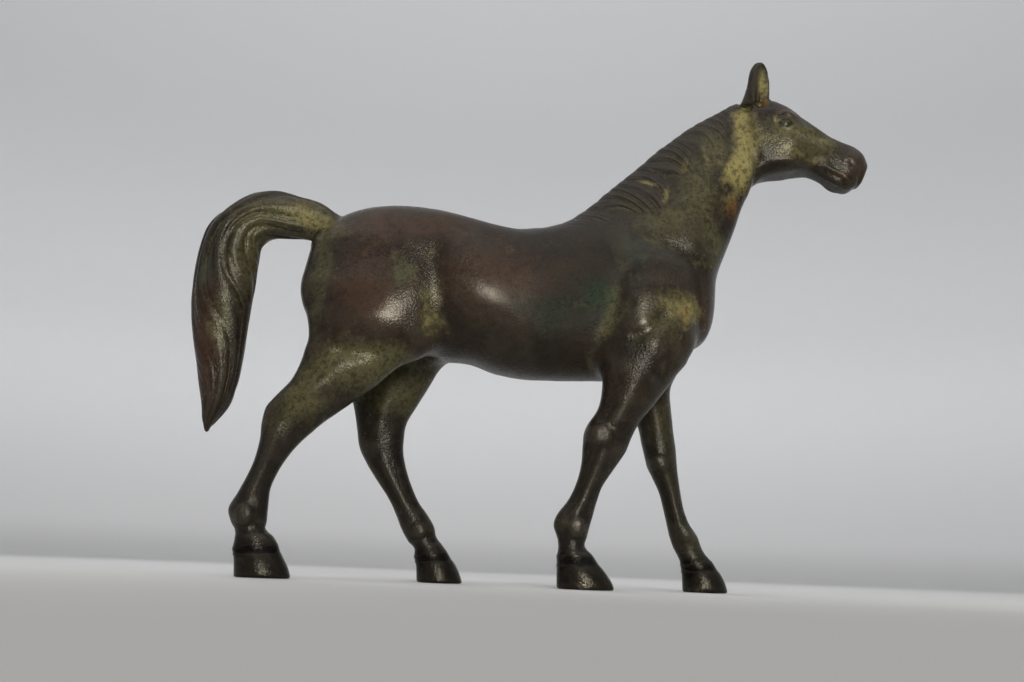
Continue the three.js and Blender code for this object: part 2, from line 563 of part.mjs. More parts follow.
// Thins a closed mesh by closing its cheapest edges, so that its triangles stay small only where the form
// bends.
function thin({ points, faces }, target) {
  const forms = points.map(() => new Array(PAIRS.length).fill(0));
  const around = points.map(() => new Set());
  const alive = new Set(faces);
  const normal = ([a, b, c], moved = {}, to = null) => {
    const [p, q, r] = [a, b, c].map((v) => (moved[v] ? to : points[v]));
    return q.clone().sub(p).cross(r.clone().sub(p));
  };
  for (const face of faces) {
    const q = planeForm(...face.map((v) => points[v]));
    for (const v of face) {
      around[v].add(face);
      q.forEach((value, n) => (forms[v][n] += value));
    }
  }
  const neighbours = (v) => new Set([...around[v]].flat().filter((n) => n !== v));
  const close = ({ a, b, to, sum }) => {
    const beside = neighbours(b);
    if ([...neighbours(a)].filter((n) => beside.has(n)).length !== 2) return false;
    const moved = { [a]: true, [b]: true };
    const kept = [...around[a], ...around[b]].filter((face) => !(face.includes(a) && face.includes(b)));
    for (const face of kept) {
      const before = normal(face);
      const after = normal(face, moved, to);
      if (after.length() < 2 * SMALLEST_FACE) return false;
      if (after.normalize().dot(before.normalize()) < SMALLEST_COSINE) return false;
    }
    for (const face of [...around[b]]) {
      if (!face.includes(a)) {
        face[face.indexOf(b)] = a;
        around[a].add(face);
        continue;
      }
      alive.delete(face);
      for (const v of face) around[v].delete(face);
    }
    around[b].clear();
    points[a] = to;
    forms[a] = sum;
    return true;
  };
  while (alive.size > target) {
    const edges = [];
    for (const face of alive)
      for (let n = 0; n < 3; n++) {
        const [a, b] = [face[n], face[(n + 1) % 3]];
        if (a > b) continue;
        const sum = forms[a].map((value, m) => value + forms[b][m]);
        const middle = points[a].clone().lerp(points[b], 0.5);
        const to = meeting(sum, middle);
        edges.push({ a, b, to, sum, cost: squaredDistance(sum, to) });
      }
    edges.sort((one, other) => one.cost - other.cost);
    const touched = new Set();
    const before = alive.size;
    for (const edge of edges.slice(0, edges.length * ROUND_SHARE)) {
      if (alive.size <= target) break;
      if (touched.has(edge.a) || touched.has(edge.b) || !close(edge)) continue;
      touched.add(edge.a);
      for (const v of neighbours(edge.a)) touched.add(v);
    }
    if (alive.size === before) break;
  }
  return { points, faces: [...alive] };
}

const wasm = await Module();
wasm.setup();

// A solid of a closed mesh.
function solid({ points, faces }) {
  const numbers = new Map();
  for (const v of faces.flat()) if (!numbers.has(v)) numbers.set(v, numbers.size);
  const vertProperties = new Float32Array([...numbers.keys()].flatMap((v) => points[v].toArray()));
  const triVerts = new Uint32Array(faces.flat().map((v) => numbers.get(v)));
  return new wasm.Manifold(new wasm.Mesh({ numProp: 3, vertProperties, triVerts }));
}

// The ground, as a block whose top is at z = 0.
function ground() {
  const box = new THREE.BoxGeometry(2 * LENGTH, 2 * BREADTH, HEIGHT).translate(0, 0, -HEIGHT / 2);
  box.deleteAttribute("normal");
  box.deleteAttribute("uv");
  const merged = mergeVertices(box);
  const corners = merged.attributes.position;
  const corner = (_, n) => new THREE.Vector3().fromBufferAttribute(corners, n);
  const points = Array.from({ length: corners.count }, corner);
  const faces = [];
  for (let n = 0; n < merged.index.count; n += 3) faces.push([0, 1, 2].map((c) => merged.index.getX(n + c)));
  return solid({ points, faces });
}

// The horse: meshed, thinned, and cut flat under the hooves.
function horseGeometry() {
  const low = [-LENGTH / 2 - MARGIN, -BREADTH / 2 - MARGIN, -MARGIN];
  const high = [LENGTH / 2 + MARGIN, BREADTH / 2 + MARGIN, HEIGHT + MARGIN];
  const size = low.map((v, c) => Math.ceil((high[c] - v) / CELL) + 1);
  const skin = thin(meshOf(unpinch(sampleGrid(low, size), size), low, size), TRIANGLES);
  for (const point of skin.points) if (Math.abs(point.z) < CLEAR) point.z = Math.sign(point.z) * CLEAR;
  const { vertProperties, triVerts } = solid(skin).subtract(ground()).getMesh();
  const geometry = new THREE.BufferGeometry();
  geometry.setAttribute("position", new THREE.BufferAttribute(vertProperties, 3));
  geometry.setIndex(new THREE.BufferAttribute(triVerts, 1));
  geometry.computeVertexNormals();
  return geometry;
}

const bronze = new THREE.MeshStandardMaterial({ color: 0x33291f, metalness: 0.5, roughness: 0.35 });
bronze.name = "bronze_patina";
const horse = new THREE.Mesh(horseGeometry(), bronze);
horse.name = "horse";

const sculpture = new THREE.Group();
sculpture.add(horse);

export default sculpture;
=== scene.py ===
# A small cast bronze horse, walking, on a pale floor in soft light. The frame and the scene are in metres.
# The horse's own sizes are in millimetres: +X is the way it looks, its right side (-Y) faces the camera, and
# its soles are at z = 0.
import math

import bpy
import numpy as np
from mathutils import Matrix, Vector, noise


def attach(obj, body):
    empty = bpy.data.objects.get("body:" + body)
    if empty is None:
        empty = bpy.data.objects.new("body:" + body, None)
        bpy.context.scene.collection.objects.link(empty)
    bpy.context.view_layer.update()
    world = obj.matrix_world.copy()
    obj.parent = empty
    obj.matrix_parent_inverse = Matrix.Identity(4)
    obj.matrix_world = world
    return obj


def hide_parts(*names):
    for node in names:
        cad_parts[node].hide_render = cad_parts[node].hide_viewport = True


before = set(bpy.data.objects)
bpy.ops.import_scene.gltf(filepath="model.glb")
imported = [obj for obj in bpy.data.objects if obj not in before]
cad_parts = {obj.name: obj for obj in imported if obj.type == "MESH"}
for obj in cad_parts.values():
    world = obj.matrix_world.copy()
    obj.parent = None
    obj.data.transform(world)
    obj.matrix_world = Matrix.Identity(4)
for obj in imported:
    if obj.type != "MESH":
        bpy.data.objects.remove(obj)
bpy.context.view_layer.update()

MM = 0.001
CELL = 0.46  # grid spacing of the sculpted skin
TRIANGLES = 190000  # most triangles that the finished skin keeps
LENGTH, BREADTH, HEIGHT = 206, 42, 163
MARGIN = 6.5  # room round the horse in the grid
STEPS = 8  # steps between two given sections when a form is sampled
LINE_STEPS = 6  # the same for the points of a crease

# Sections of each form, from one end to the other. A section is a chord of the side view, from its front or
# upper end to its back or lower end, with the form's half width there:
# [front x, front z, back x, back z, middle y, half width].
TRUNK = [
    [-63.0, 104.4, -64.5, 74.0, 0, 12.0],
    [-58.0, 108.4, -59.0, 72.0, 0, 14.8],
    [-50.0, 111.0, -50.0, 70.0, 0, 16.8],
    [-40.0, 111.8, -39.0, 67.5, 0, 18.2],
    [-30.0, 111.0, -28.0, 65.0, 0, 18.8],
    [-21.0, 109.0, -19.0, 64.2, 0, 19.2],
    [-12.0, 106.8, -11.0, 61.6, 0, 18.8],
    [-3.0, 105.7, -3.0, 60.2, 0, 17.7],
    [7.0, 107.0, 7.0, 60.0, 0, 16.3],
    [17.0, 107.7, 17.0, 60.3, 0, 15.6],
    [27.0, 108.0, 27.0, 60.8, 0, 17.0],
    [36.0, 103.0, 37.0, 61.8, 0, 16.2],
    [43.0, 97.0, 43.5, 66.0, 0, 13.4],
    [47.2, 92.0, 48.0, 72.6, 0, 9.0],
]
NECK = [
    [7.0, 101.5, 43.0, 68.0, 0, 8.0],
    [12.4, 110.6, 48.8, 76.0, 0, 10.6],
    [19.0, 117.0, 52.2, 83.5, 0, 11.6],
    [25.0, 122.6, 54.4, 91.5, 0, 11.0],
    [31.2, 128.2, 57.0, 98.5, 0, 9.8],
    [37.4, 134.1, 59.3, 104.6, 0, 8.8],
    [43.7, 139.3, 61.4, 110.2, 0, 8.0],
    [50.1, 144.0, 63.0, 115.5, 0, 7.4],
    [56.4, 147.9, 64.6, 120.0, 0, 7.0],
    [61.9, 151.2, 67.0, 124.0, 0, 6.8],
]
HEAD = [
    [66.5, 151.2, 66.5, 127.0, 0, 6.4],
    [72.0, 152.1, 69.8, 126.4, 0, 7.3],
    [76.0, 150.7, 74.0, 127.0, 0, 7.7],
    [79.4, 148.6, 77.2, 127.6, 0, 7.7],
    [82.9, 145.6, 80.2, 128.2, 0, 6.8],
    [87.0, 142.9, 84.0, 128.2, 0, 5.5],
    [91.0, 140.4, 87.5, 126.8, 0, 4.9],
    [95.0, 138.9, 90.6, 124.8, 0, 4.7],
    [98.5, 137.5, 93.6, 123.3, 0, 4.8],
    [101.2, 135.2, 96.4, 123.0, 0, 4.4],
    [102.4, 132.2, 99.0, 124.6, 0, 3.2],
]
EAR = [
    [71.8, 149.9, 62.6, 148.9, 3.4, 3.0],
    [71.6, 153.1, 63.8, 152.3, 3.6, 2.8],
    [71.6, 156.5, 64.7, 155.3, 3.8, 2.6],
    [71.5, 159.6, 65.2, 158.5, 4.0, 2.3],
    [71.0, 161.8, 65.8, 160.9, 4.1, 2.0],
    [70.2, 163.1, 66.8, 162.6, 4.1, 1.5],
]
FAR_EAR_AHEAD = 1.4  # how much further forward the far ear stands
NEAR_FORE = [
    [40.0, 84.0, 27.0, 86.0, -6.5, 5.4],
    [46.0, 71.0, 21.5, 74.0, -10.4, 7.4],
    [41.2, 60.8, 19.8, 65.0, -11.5, 7.2],
    [35.5, 52.6, 20.0, 57.0, -11.6, 6.2],
    [31.0, 46.8, 18.9, 50.2, -11.6, 5.2],
    [28.3, 42.0, 15.8, 44.6, -11.4, 4.7],
    [26.8, 37.8, 14.8, 40.0, -11.2, 4.6],
    [23.2, 32.3, 14.5, 34.4, -11.0, 3.8],
    [20.4, 27.8, 13.2, 29.0, -11.0, 3.3],
    [19.1, 23.9, 11.1, 24.2, -11.0, 3.3],
    [18.0, 20.0, 8.1, 20.2, -11.0, 3.8],
    [17.2, 17.0, 7.1, 17.2, -11.0, 4.1],
    [16.4, 13.6, 8.1, 14.2, -11.0, 3.7],
    [16.0, 11.6, 8.6, 11.7, -11.0, 3.8],
    [18.4, 8.8, 8.5, 9.0, -11.0, 4.3],
    [21.5, 5.0, 8.3, 5.0, -11.0, 5.9],
    [23.8, 1.6, 8.4, 1.6, -11.0, 6.4],
    [24.6, -2.0, 8.4, -2.0, -11.0, 6.4],
]
FAR_FORE = [
    [41.0, 84.0, 29.0, 86.0, 6.5, 5.4],
    [46.0, 72.0, 26.0, 74.0, 10.4, 7.2],
    [43.2, 62.0, 27.5, 64.0, 11.5, 6.8],
    [43.4, 54.0, 30.5, 55.5, 11.6, 5.8],
    [44.0, 48.0, 33.0, 49.2, 11.6, 5.0],
    [44.5, 42.8, 34.5, 43.6, 11.4, 4.6],
    [45.0, 38.0, 35.6, 38.6, 11.2, 4.5],
    [45.5, 33.4, 37.4, 33.8, 11.0, 3.8],
    [46.2, 28.8, 39.6, 29.0, 11.0, 3.3],
    [47.1, 24.2, 40.9, 24.4, 11.0, 3.2],
    [48.7, 19.9, 41.9, 20.0, 11.0, 3.5],
    [51.2, 16.2, 42.8, 16.2, 11.0, 3.8],
    [52.3, 13.2, 44.0, 12.6, 11.0, 3.5],
    [53.8, 10.8, 45.3, 10.2, 11.0, 3.6],
    [55.8, 8.4, 46.4, 8.0, 11.0, 4.1],
    [58.2, 5.0, 46.6, 4.8, 11.0, 5.3],
    [59.6, 1.8, 46.7, 1.8, 11.0, 5.8],
    [60.3, -2.0, 46.8, -2.0, 11.0, 5.8],
]
NEAR_HIND = [
    [-30.0, 97.0, -62.0, 96.0, -5.0, 6.0],
    [-26.0, 85.0, -67.1, 85.0, -8.8, 9.4],
    [-26.0, 72.5, -65.8, 75.0, -11.0, 9.4],
    [-31.5, 63.8, -64.6, 68.0, -11.6, 8.0],
    [-38.5, 59.8, -65.4, 63.6, -12.0, 7.0],
    [-45.0, 53.8, -66.6, 59.0, -12.0, 6.3],
    [-51.6, 48.8, -68.4, 54.8, -12.0, 5.5],
    [-58.0, 44.2, -71.6, 51.0, -12.0, 4.9],
    [-62.5, 39.6, -74.9, 47.0, -12.0, 4.6],
    [-65.8, 35.8, -75.8, 42.4, -12.0, 4.4],
    [-68.6, 31.8, -75.9, 37.6, -11.8, 3.8],
    [-70.4, 28.4, -76.9, 32.6, -11.6, 3.3],
    [-71.8, 24.6, -78.8, 27.4, -11.4, 3.2],
    [-72.1, 21.4, -80.9, 22.8, -11.2, 3.4],
    [-72.2, 18.2, -83.1, 18.6, -11.0, 4.0],
    [-72.2, 15.2, -82.2, 15.0, -11.0, 3.9],
    [-72.3, 13.2, -80.8, 12.6, -11.0, 3.7],
    [-70.0, 11.2, -80.6, 10.5, -11.0, 4.2],
    [-68.5, 8.6, -80.7, 7.8, -11.0, 4.5],
    [-67.0, 5.8, -80.3, 5.2, -11.0, 5.7],
    [-65.2, 2.6, -80.0, 2.4, -11.0, 6.3],
    [-63.8, -2.0, -79.7, -2.0, -11.0, 6.4],
]
FAR_HIND = [
    [-30.0, 97.0, -60.0, 94.0, 5.0, 6.0],
    [-25.0, 85.0, -62.0, 81.0, 8.8, 9.2],
    [-25.6, 74.0, -59.5, 70.5, 11.0, 9.2],
    [-28.0, 66.2, -56.6, 62.5, 11.6, 7.6],
    [-30.8, 59.6, -54.4, 55.6, 12.0, 6.6],
    [-34.4, 53.0, -53.2, 49.4, 12.0, 5.6],
    [-37.5, 47.0, -52.3, 44.0, 12.0, 4.9],
    [-38.2, 41.6, -51.2, 39.0, 12.0, 4.6],
    [-37.8, 37.2, -49.0, 34.6, 12.0, 4.2],
    [-36.5, 32.3, -46.0, 30.2, 11.8, 3.7],
    [-34.6, 27.5, -43.2, 26.4, 11.6, 3.2],
    [-32.3, 23.2, -40.7, 22.6, 11.4, 3.2],
    [-29.4, 19.5, -38.6, 18.6, 11.2, 3.6],
    [-27.4, 16.4, -37.0, 15.0, 11.0, 3.9],
    [-26.4, 13.2, -34.9, 11.6, 11.0, 3.7],
    [-24.8, 11.2, -33.0, 9.8, 11.0, 3.8],
    [-22.9, 8.6, -32.7, 7.6, 11.0, 4.2],
    [-20.4, 5.3, -32.2, 5.0, 11.0, 5.2],
    [-18.9, 2.2, -31.9, 2.2, 11.0, 5.7],
    [-17.8, -2.0, -31.6, -2.0, 11.0, 6.0],
]
TAIL = [
    [-57.0, 107.0, -60.0, 97.0, 0, 4.4],
    [-61.8, 109.7, -65.6, 99.8, 0, 4.6],
    [-66.7, 112.4, -69.6, 101.0, 0, 5.0],
    [-73.1, 114.2, -74.4, 101.2, 0, 5.4],
    [-80.0, 115.7, -79.0, 101.0, 0, 6.0],
    [-87.6, 114.6, -82.2, 100.4, 0, 6.4],
    [-95.4, 109.6, -84.0, 98.0, 0, 6.8],
    [-100.5, 103.1, -84.4, 93.2, 0, 7.0],
    [-102.4, 94.2, -84.6, 87.4, 0, 7.0],
    [-103.0, 83.9, -85.3, 80.0, 0, 6.8],
    [-102.2, 73.9, -85.9, 71.6, 0, 6.4],
    [-100.6, 64.9, -86.3, 63.4, 0, 5.8],
    [-98.8, 56.9, -87.0, 55.6, 0, 5.0],
    [-97.1, 49.9, -88.8, 49.2, 0, 4.0],
    [-96.3, 44.8, -91.8, 44.6, 0, 2.6],
    [-95.4, 42.2, -94.0, 42.1, 0, 1.4],
]
# Muscles on both flanks: [x, z, radius along x, radius along z, height].
SWELLS = [
    [-44, 76, 14, 11, 1.1],
    [-52, 98, 10, 8, 0.6],
    [-38, 88, 4, 7, -0.4],
    [-31, 67, 5, 4, 0.5],
    [-61, 50, 7, 7, 1.0],
    [-13, 81, 10, 9, 0.7],
    [31.5, 78.5, 8, 7, 1.3],
    [34.5, 66.5, 4, 5, 0.8],
    [45, 80, 6, 10, 1.2],
    [32, 87, 9, 9, 0.6],
    [23, 99, 8, 5, 0.4],
    [47, 103, 8, 9, 0.5],
    [77.5, 134.5, 6, 6, 0.9],
    [96.5, 130.5, 3.5, 4, 0.7],
    [32.4, 77.6, 4.5, 3.6, -0.35],
]
# Bony knobs at the knees and fetlocks, with flat tops, in the same way.
KNOBS = [
    [18.8, 42.0, 3.2, 2.8, 1.3],
    [13.6, 16.6, 2.2, 2.6, 1.0],
    [38.8, 37.1, 2.6, 2.4, 1.0],
    [47.6, 17.0, 2.0, 2.2, 0.5],
    [-78.0, 16.8, 2.4, 2.6, 1.0],
    [-31.5, 14.8, 2.0, 2.2, 0.5],
]
# Creases on both flanks: (depth, width, points in the side view). A ridge has a negative depth.
FOLDS = [
    (1.1, 4.5, [[-31, 100], [-29.5, 89], [-28, 77], [-25, 66]]),
    (1.1, 2.6, [[-59, 64], [-51, 62.5], [-42, 63.5], [-33, 67]]),
    (0.5, 2.4, [[-60, 98], [-63, 86], [-61.5, 72], [-56, 62]]),
    (-0.5, 3.5, [[-66, 48], [-59, 53], [-51, 58], [-42, 61]]),
    (1.0, 3.6, [[29, 97], [24.5, 87], [22, 76], [20, 64]]),
    (0.6, 2.1, [[24, 69.6], [29.5, 70.4], [33.5, 72.4], [36.5, 76], [38, 81]]),
    (0.7, 1.8, [[43, 73], [39.3, 69.3], [37, 63], [34.5, 57]]),
    (0.7, 2.4, [[25, 102.5], [35, 100], [44, 96.5], [50, 91]]),
    (1.0, 3.0, [[63, 130], [60, 119.5], [55.5, 109], [50, 97]]),
    (1.4, 2.2, [[61.5, 146], [64, 139], [65.5, 132], [67, 127]]),
]

EYE = (75.7, 141.8)  # the middle of the eyes in the side view
# Fine carving of the face, on both sides, in the same ways.
FACE_SWELLS = [
    [EYE[0], EYE[1], 2.8, 2.2, -0.7],
    [EYE[0], EYE[1], 1.35, 1.0, 1.3],
    [70.5, 143.5, 2.2, 2.4, -0.5],
    [82.5, 131.8, 4.0, 1.9, -0.5],
    [86.5, 138.6, 4.5, 1.6, -0.4],
    [96.2, 130.4, 1.2, 1.5, -0.25],
    [91.5, 124.3, 2.4, 1.6, 0.4],
]
FACE_FOLDS = [
    (-0.5, 0.9, [[71.4, 141.8], [73.2, 144.6], [76.4, 145.6], [79.4, 143.6]]),
    (-0.45, 0.42, [[73.4, 142.1], [74.8, 143.5], [76.8, 143.3], [78.4, 141.0]]),
    (-0.4, 0.42, [[73.4, 141.7], [75.0, 140.3], [77.0, 140.1], [78.4, 140.8]]),
    (0.35, 0.6, [[78.2, 140.6], [80.0, 139.2], [81.2, 137.8]]),
    (-0.5, 1.1, [[79.0, 137.6], [84.0, 135.3], [89.5, 133.6]]),
    (-0.3, 1.2, [[80.5, 145.6], [88.0, 141.0], [95.0, 137.2]]),
    (-0.12, 0.8, [[94.2, 130.6], [95.2, 132.3], [97.2, 131.8], [97.8, 129.8]]),
    (0.25, 0.6, [[87.3, 129.0], [90.3, 126.9], [93.3, 125.4], [95.0, 122.9]]),
    (-0.22, 0.6, [[87.6, 130.2], [91.0, 128.0], [94.2, 126.3], [96.0, 123.6]]),
    (-0.3, 0.7, [[69.0, 129.4], [74.2, 129.8], [80.0, 129.4], [86.4, 129.0]]),
]
# The hollow of each ear and its two rims.
EAR_HOLLOW = (1.3, 1.7, [[69.9, 160.6], [69.0, 155.5], [68.3, 149.5]])
EAR_RIMS = [
    (-0.45, 0.5, [[67.6, 160.8], [66.4, 156.0], [66.1, 151.0], [67.2, 145.5]]),
    (-0.35, 0.45, [[71.0, 160.0], [71.2, 155.0], [70.9, 150.5]]),
]

# The joints of each leg, as the numbers of their sections: knee or hock, fetlock, coronet.
JOINTS = {
    "near_hind": [7, 14, 18],
    "far_hind": [7, 12, 16],
    "near_fore": [5, 11, 14],
    "far_fore": [5, 11, 14],
}
# Lengthwise carving of a leg. A stage is 1 at the knee or hock, 2 at the fetlock, 3 at the coronet and 4 at
# the sole: (first stage, last stage, place across from -1 at the back to 1 at the front, half width, height).
STREAKS = [
    (0.35, 0.98, 0.0, 2.0, 0.3),
    (0.45, 1.00, -0.55, 1.3, -0.2),
    (1.10, 1.95, 0.0, 1.1, 0.3),
    (1.15, 1.90, -0.5, 0.9, -0.25),
    (2.95, 3.30, -0.85, 1.2, 0.4),
]
# Bands round a leg: (stage, half height in stages, height).
BANDS = [
    (1.0, 0.12, 0.15),
    (2.45, 0.06, -0.08),
    (2.62, 0.05, -0.06),
    (2.95, 0.1, 0.16),
    (3.16, 0.05, -0.1),
]

# The locks of the mane leave the crest forwards and curl back down the neck. Each ends in a point.
MANE = {"locks": 19, "lean": 0.2, "curl": 0.2, "height": 0.42, "wobble": 0.6, "point": 0.45}
# How far down the neck the locks reach, from its foot to the ears: [place along the neck, reach].
MANE_REACH = [[0, 0.1], [0.1, 0.3], [0.25, 0.7], [0.5, 0.9], [0.8, 1.0], [0.95, 0.8], [1, 0.5]]
TAIL_HAIR = {"locks": 4, "height": 0.7, "strands": 9, "fine": 0.3}
PHASE_START = 40  # keeps the phase of the locks above zero
LEFT_LOCKS = 100  # gives the locks on the left side other lengths and heights

# Patches of colour on the flanks: [x, z, radius along x, radius along z, strength].
OLIVE = [
    [-29.4, 77, 3, 10, 0.9],
    [-37.5, 86, 3.5, 6, 0.7],
    [-46, 61, 15, 4, 0.45],
    [-63, 48, 8, 6, 0.8],
    [-54, 62, 7, 6, 0.5],
    [-62, 84, 3.5, 16, 0.7],
    [-58, 100, 7, 4, 0.5],
    [22, 80, 3.5, 9, 0.7],
    [38, 106, 13, 8, 0.7],
    [48, 120, 7, 12, 0.75],
    [54, 134, 5, 7, 0.7],
    [54, 100, 4, 12, 0.6],
    [80, 137, 10, 7, 1.0],
    [88, 136, 6, 4, 0.6],
    [68, 138, 4, 5, 0.6],
    [36, 74, 8, 7, 0.7],
    [42, 45, 6, 16, 0.7],
    [46, 26, 4, 10, 0.6],
    [51, 12, 5, 5, 0.7],
    [-38, 55, 9, 12, 0.6],
    [-74, 108, 12, 6, 0.9],
    [-86, 96, 6, 14, 0.9],
    [-92, 72, 3.5, 12, 0.6],
    [-54, 56, 12, 5, 0.7],
    [-70, 42, 5, 5, 0.5],
]
OCHRE = [
    [62.8, 143, 3.5, 5, 0.9],
    [63.5, 134, 4, 7, 1.0],
    [60.5, 125, 4.5, 6, 1.0],
    [57.5, 115, 3, 4, 0.5],
    [69.2, 155.2, 2.0, 5.5, 1.0],
    [44.5, 78.5, 4.5, 5, 0.7],
    [38, 80, 5, 4.5, 0.5],
    [33, 121.5, 3, 1.2, 0.7],
    [38.5, 117.5, 1.6, 3.6, 0.8],
    [44, 126, 1.4, 4, 0.4],
    [50, 130, 1.4, 5, 0.5],
    [-64, 105, 6, 3.5, 0.65],
    [-72, 108, 6, 3, 0.4],
    [-30, 72, 3, 5, 0.5],
    [78, 132, 4, 2, 0.5],
    [86, 131, 4, 1.5, 0.5],
    [87, 137.5, 6, 1.6, 0.5],
    [EYE[0] + 1, EYE[1] - 3, 3, 1.2, 0.4],
    [EYE[0] - 3, EYE[1] + 1, 1.5, 2, 0.4],
    [47, 40, 1.5, 7, 0.45],
    [50, 16, 3, 4, 0.45],
]
ORANGE = [
    [59, 114, 2.5, 3, 0.9],
    [69.5, 149.5, 1.8, 1.8, 0.9],
    [43, 78, 3, 3, 0.55],
    [93, 126.5, 2.5, 1, 0.5],
    [-70, 112, 6, 1.5, 0.4],
]
RUDDY = [
    [-38, 103, 20, 6, 0.9],
    [-48, 82, 10, 13, 0.8],
    [-42, 74, 7, 6, 0.4],
    [-12, 86, 16, 11, 0.8],
    [50, 78, 4, 12, 0.4],
    [79, 147, 6, 3, 0.7],
    [99, 130, 6, 6, 0.5],
    [-96, 65, 5, 18, 0.8],
    [36, 74, 8, 8, 0.3],
]
VERDIGRIS = [
    [17, 86, 8, 5, 0.5],
    [4, 76, 11, 7, 0.5],
    [20, 80, 4, 5, 0.5],
    [-18, 100, 3, 3, 0.4],
    [-98, 88, 3.5, 6, 0.6],
    [28, 97, 7, 4, 0.5],
    [-38, 86, 2.5, 5, 0.4],
]
# Where the casting is worn smooth.
POLISHED = [
    [-44, 76, 11, 10, 0.8],
    [-12, 81, 12, 10, 1.0],
    [31, 75, 7, 6, 0.9],
    [75, 134, 5, 5, 0.5],
    [EYE[0], EYE[1], 1.2, 1, 0.8],
    [98, 130, 5, 6, 0.6],
    [46, 80, 4, 10, 0.6],
    [-38, 105, 14, 4, 0.5],
    [46, 103, 7, 6, 0.5],
]
# Painted highlights: spots of lighter, more metallic bronze where the highlights fall on the fore hooves and
# the near fore leg.
PAINTED_HIGHLIGHTS = [
    [14.6, 1.0, 2.2, 1.4, 1.0],
    [49.2, 0.8, 1.8, 1.1, 0.7],
    [13.2, 16.6, 2.0, 2.0, 0.5],
    [14.0, 9.3, 1.8, 0.9, 0.5],
]
# Where the patina is dull.
DULL = [
    [8, 82, 15, 14, 1.0],
    [-28, 103, 18, 5, 0.6],
    [20, 92, 9, 8, 0.5],
]


def smoothstep(low, high, value):
    part = np.clip((value - low) / (high - low), 0, 1)
    return part * part * (3 - 2 * part)


def smooth_curve(rows, steps):
    """Rows sampled along a smooth curve through the given ones."""
    p = np.asarray(rows, float)
    p = np.vstack([2 * p[0] - p[1], p, 2 * p[-1] - p[-2]])
    spans = len(rows) - 1
    u = np.linspace(0, spans, spans * steps + 1)
    i = np.minimum(u.astype(int), spans - 1)
    t = (u - i)[:, None]
    a, b, c, d = p[i], p[i + 1], p[i + 2], p[i + 3]
    return 0.5 * (2 * b + (c - a) * t + (2 * a - 5 * b + 4 * c - d) * t**2 + (3 * b - a - 3 * c + d) * t**3)


class Form:
    """A run of sections: cap is the length of its rounded ends, square how square its sections are, below how
    much squarer they are at their back or lower side, egg how much wider they are at the front, and blend how
    softly the form joins the others."""

    def __init__(self, rows, cap=3.0, square=2.0, below=0.0, egg=0.0, blend=3.0):
        fx, fz, bx, bz, self.y, self.width = smooth_curve(rows, STEPS).T
        self.spans = len(rows) - 1
        self.x, self.z = (fx + bx) / 2, (fz + bz) / 2
        self.depth = np.hypot(fx - bx, fz - bz) / 2
        self.nx, self.nz = (fx - bx) / 2 / self.depth, (fz - bz) / 2 / self.depth
        self.cap, self.square, self.below, self.egg, self.blend = cap, square, below, egg, blend

    def along(self, k, x, z):
        return (z - self.z[k]) * self.nx[k] - (x - self.x[k]) * self.nz[k]

    def place(self, x, z):
        """For points of the side view: how far along the form (0 to 1), across it (-1 to 1 inside) and past
        its ends they lie, and the section's half depth, half width and middle y there."""
        best = np.full(x.shape, np.inf)
        k = np.zeros(x.shape, int)
        for n in range(len(self.x)):
            over = np.abs((x - self.x[n]) * self.nx[n] + (z - self.z[n]) * self.nz[n]) - self.depth[n]
            d = self.along(n, x, z) ** 2 + np.maximum(over, 0) ** 2
            nearer = d < best
            best[nearer] = d[nearer]
            k[nearer] = n
        last = len(self.x) - 1
        for _ in range(2 * STEPS):
            for step in (1, -1):
                beside = np.clip(k + step, 0, last)
                k = np.where(np.abs(self.along(beside, x, z)) < np.abs(self.along(k, x, z)), beside, k)
        here = self.along(k, x, z)
        ahead = np.minimum(k + 1, last)
        beside = np.where((self.along(ahead, x, z) * here <= 0) & (k < last), ahead, np.maximum(k - 1, 0))
        there = self.along(beside, x, z)
        crosses = here * there < 0
        part = np.where(crosses, here / np.where(crosses, here - there, 1), 0)

        def mixed(values):
            return values[k] + (values[beside] - values[k]) * part

        nx, nz = mixed(self.nx), mixed(self.nz)
        length = np.hypot(nx, nz)
        depth = mixed(self.depth)
        across = ((x - mixed(self.x)) * nx + (z - mixed(self.z)) * nz) / length / depth
        is_end = ((k == 0) | (k == last)) & ~crosses
        return {
            "t": (k + (beside - k) * part) / last,
            "across": across,
            "past": np.where(is_end, here / self.cap, 0),
            "depth": depth,
            "width": mixed(self.width),
            "y": mixed(self.y),
        }

    def distance(self, at, y):
        """The rough distance of points at heights y over places of the side view from the form's surface."""
        across, past, depth = at["across"][:, None], at["past"][:, None], at["depth"][:, None]
        width = at["width"][:, None] * (1 + self.egg * np.clip(across, -1, 1))
        u, v, w = np.abs(across), np.abs(y - at["y"][:, None]) / width, np.abs(past)
        p = self.square + self.below * smoothstep(0.2, -0.7, across)
        rho = np.maximum((u**p + v**p + w**p) ** (1 / p), 0.1)
        q = p - 1
        slopes = (u / rho) ** q / depth, (v / rho) ** q / width, (w / rho) ** q / self.cap
        steepest = np.sqrt(sum(slope**2 for slope in slopes))
        return (rho - 1) / np.maximum(steepest, 0.01)


def melt(a, b, k):
    """The nearer of two surfaces, melted together over a width k."""
    h = np.maximum(k - np.abs(a - b), 0) / k
    return np.minimum(a, b) - h * h * k / 4


def from_line(points, x, z):
    """How far points of the side view are from a smooth line, and how far along it they are, from 0 to 1."""
    nodes = smooth_curve(points, LINE_STEPS)
    best = np.full(x.shape, np.inf)
    along = np.zeros(x.shape)
    for n, ((ax, az), (bx, bz)) in enumerate(zip(nodes, nodes[1:])):
        dx, dz = bx - ax, bz - az
        part = np.clip(((x - ax) * dx + (z - az) * dz) / (dx * dx + dz * dz), 0, 1)
        gap = np.hypot(x - ax - part * dx, z - az - part * dz)
        nearer = gap < best
        best = np.where(nearer, gap, best)
        along = np.where(nearer, (n + part) / (len(nodes) - 1), along)
    return best, along


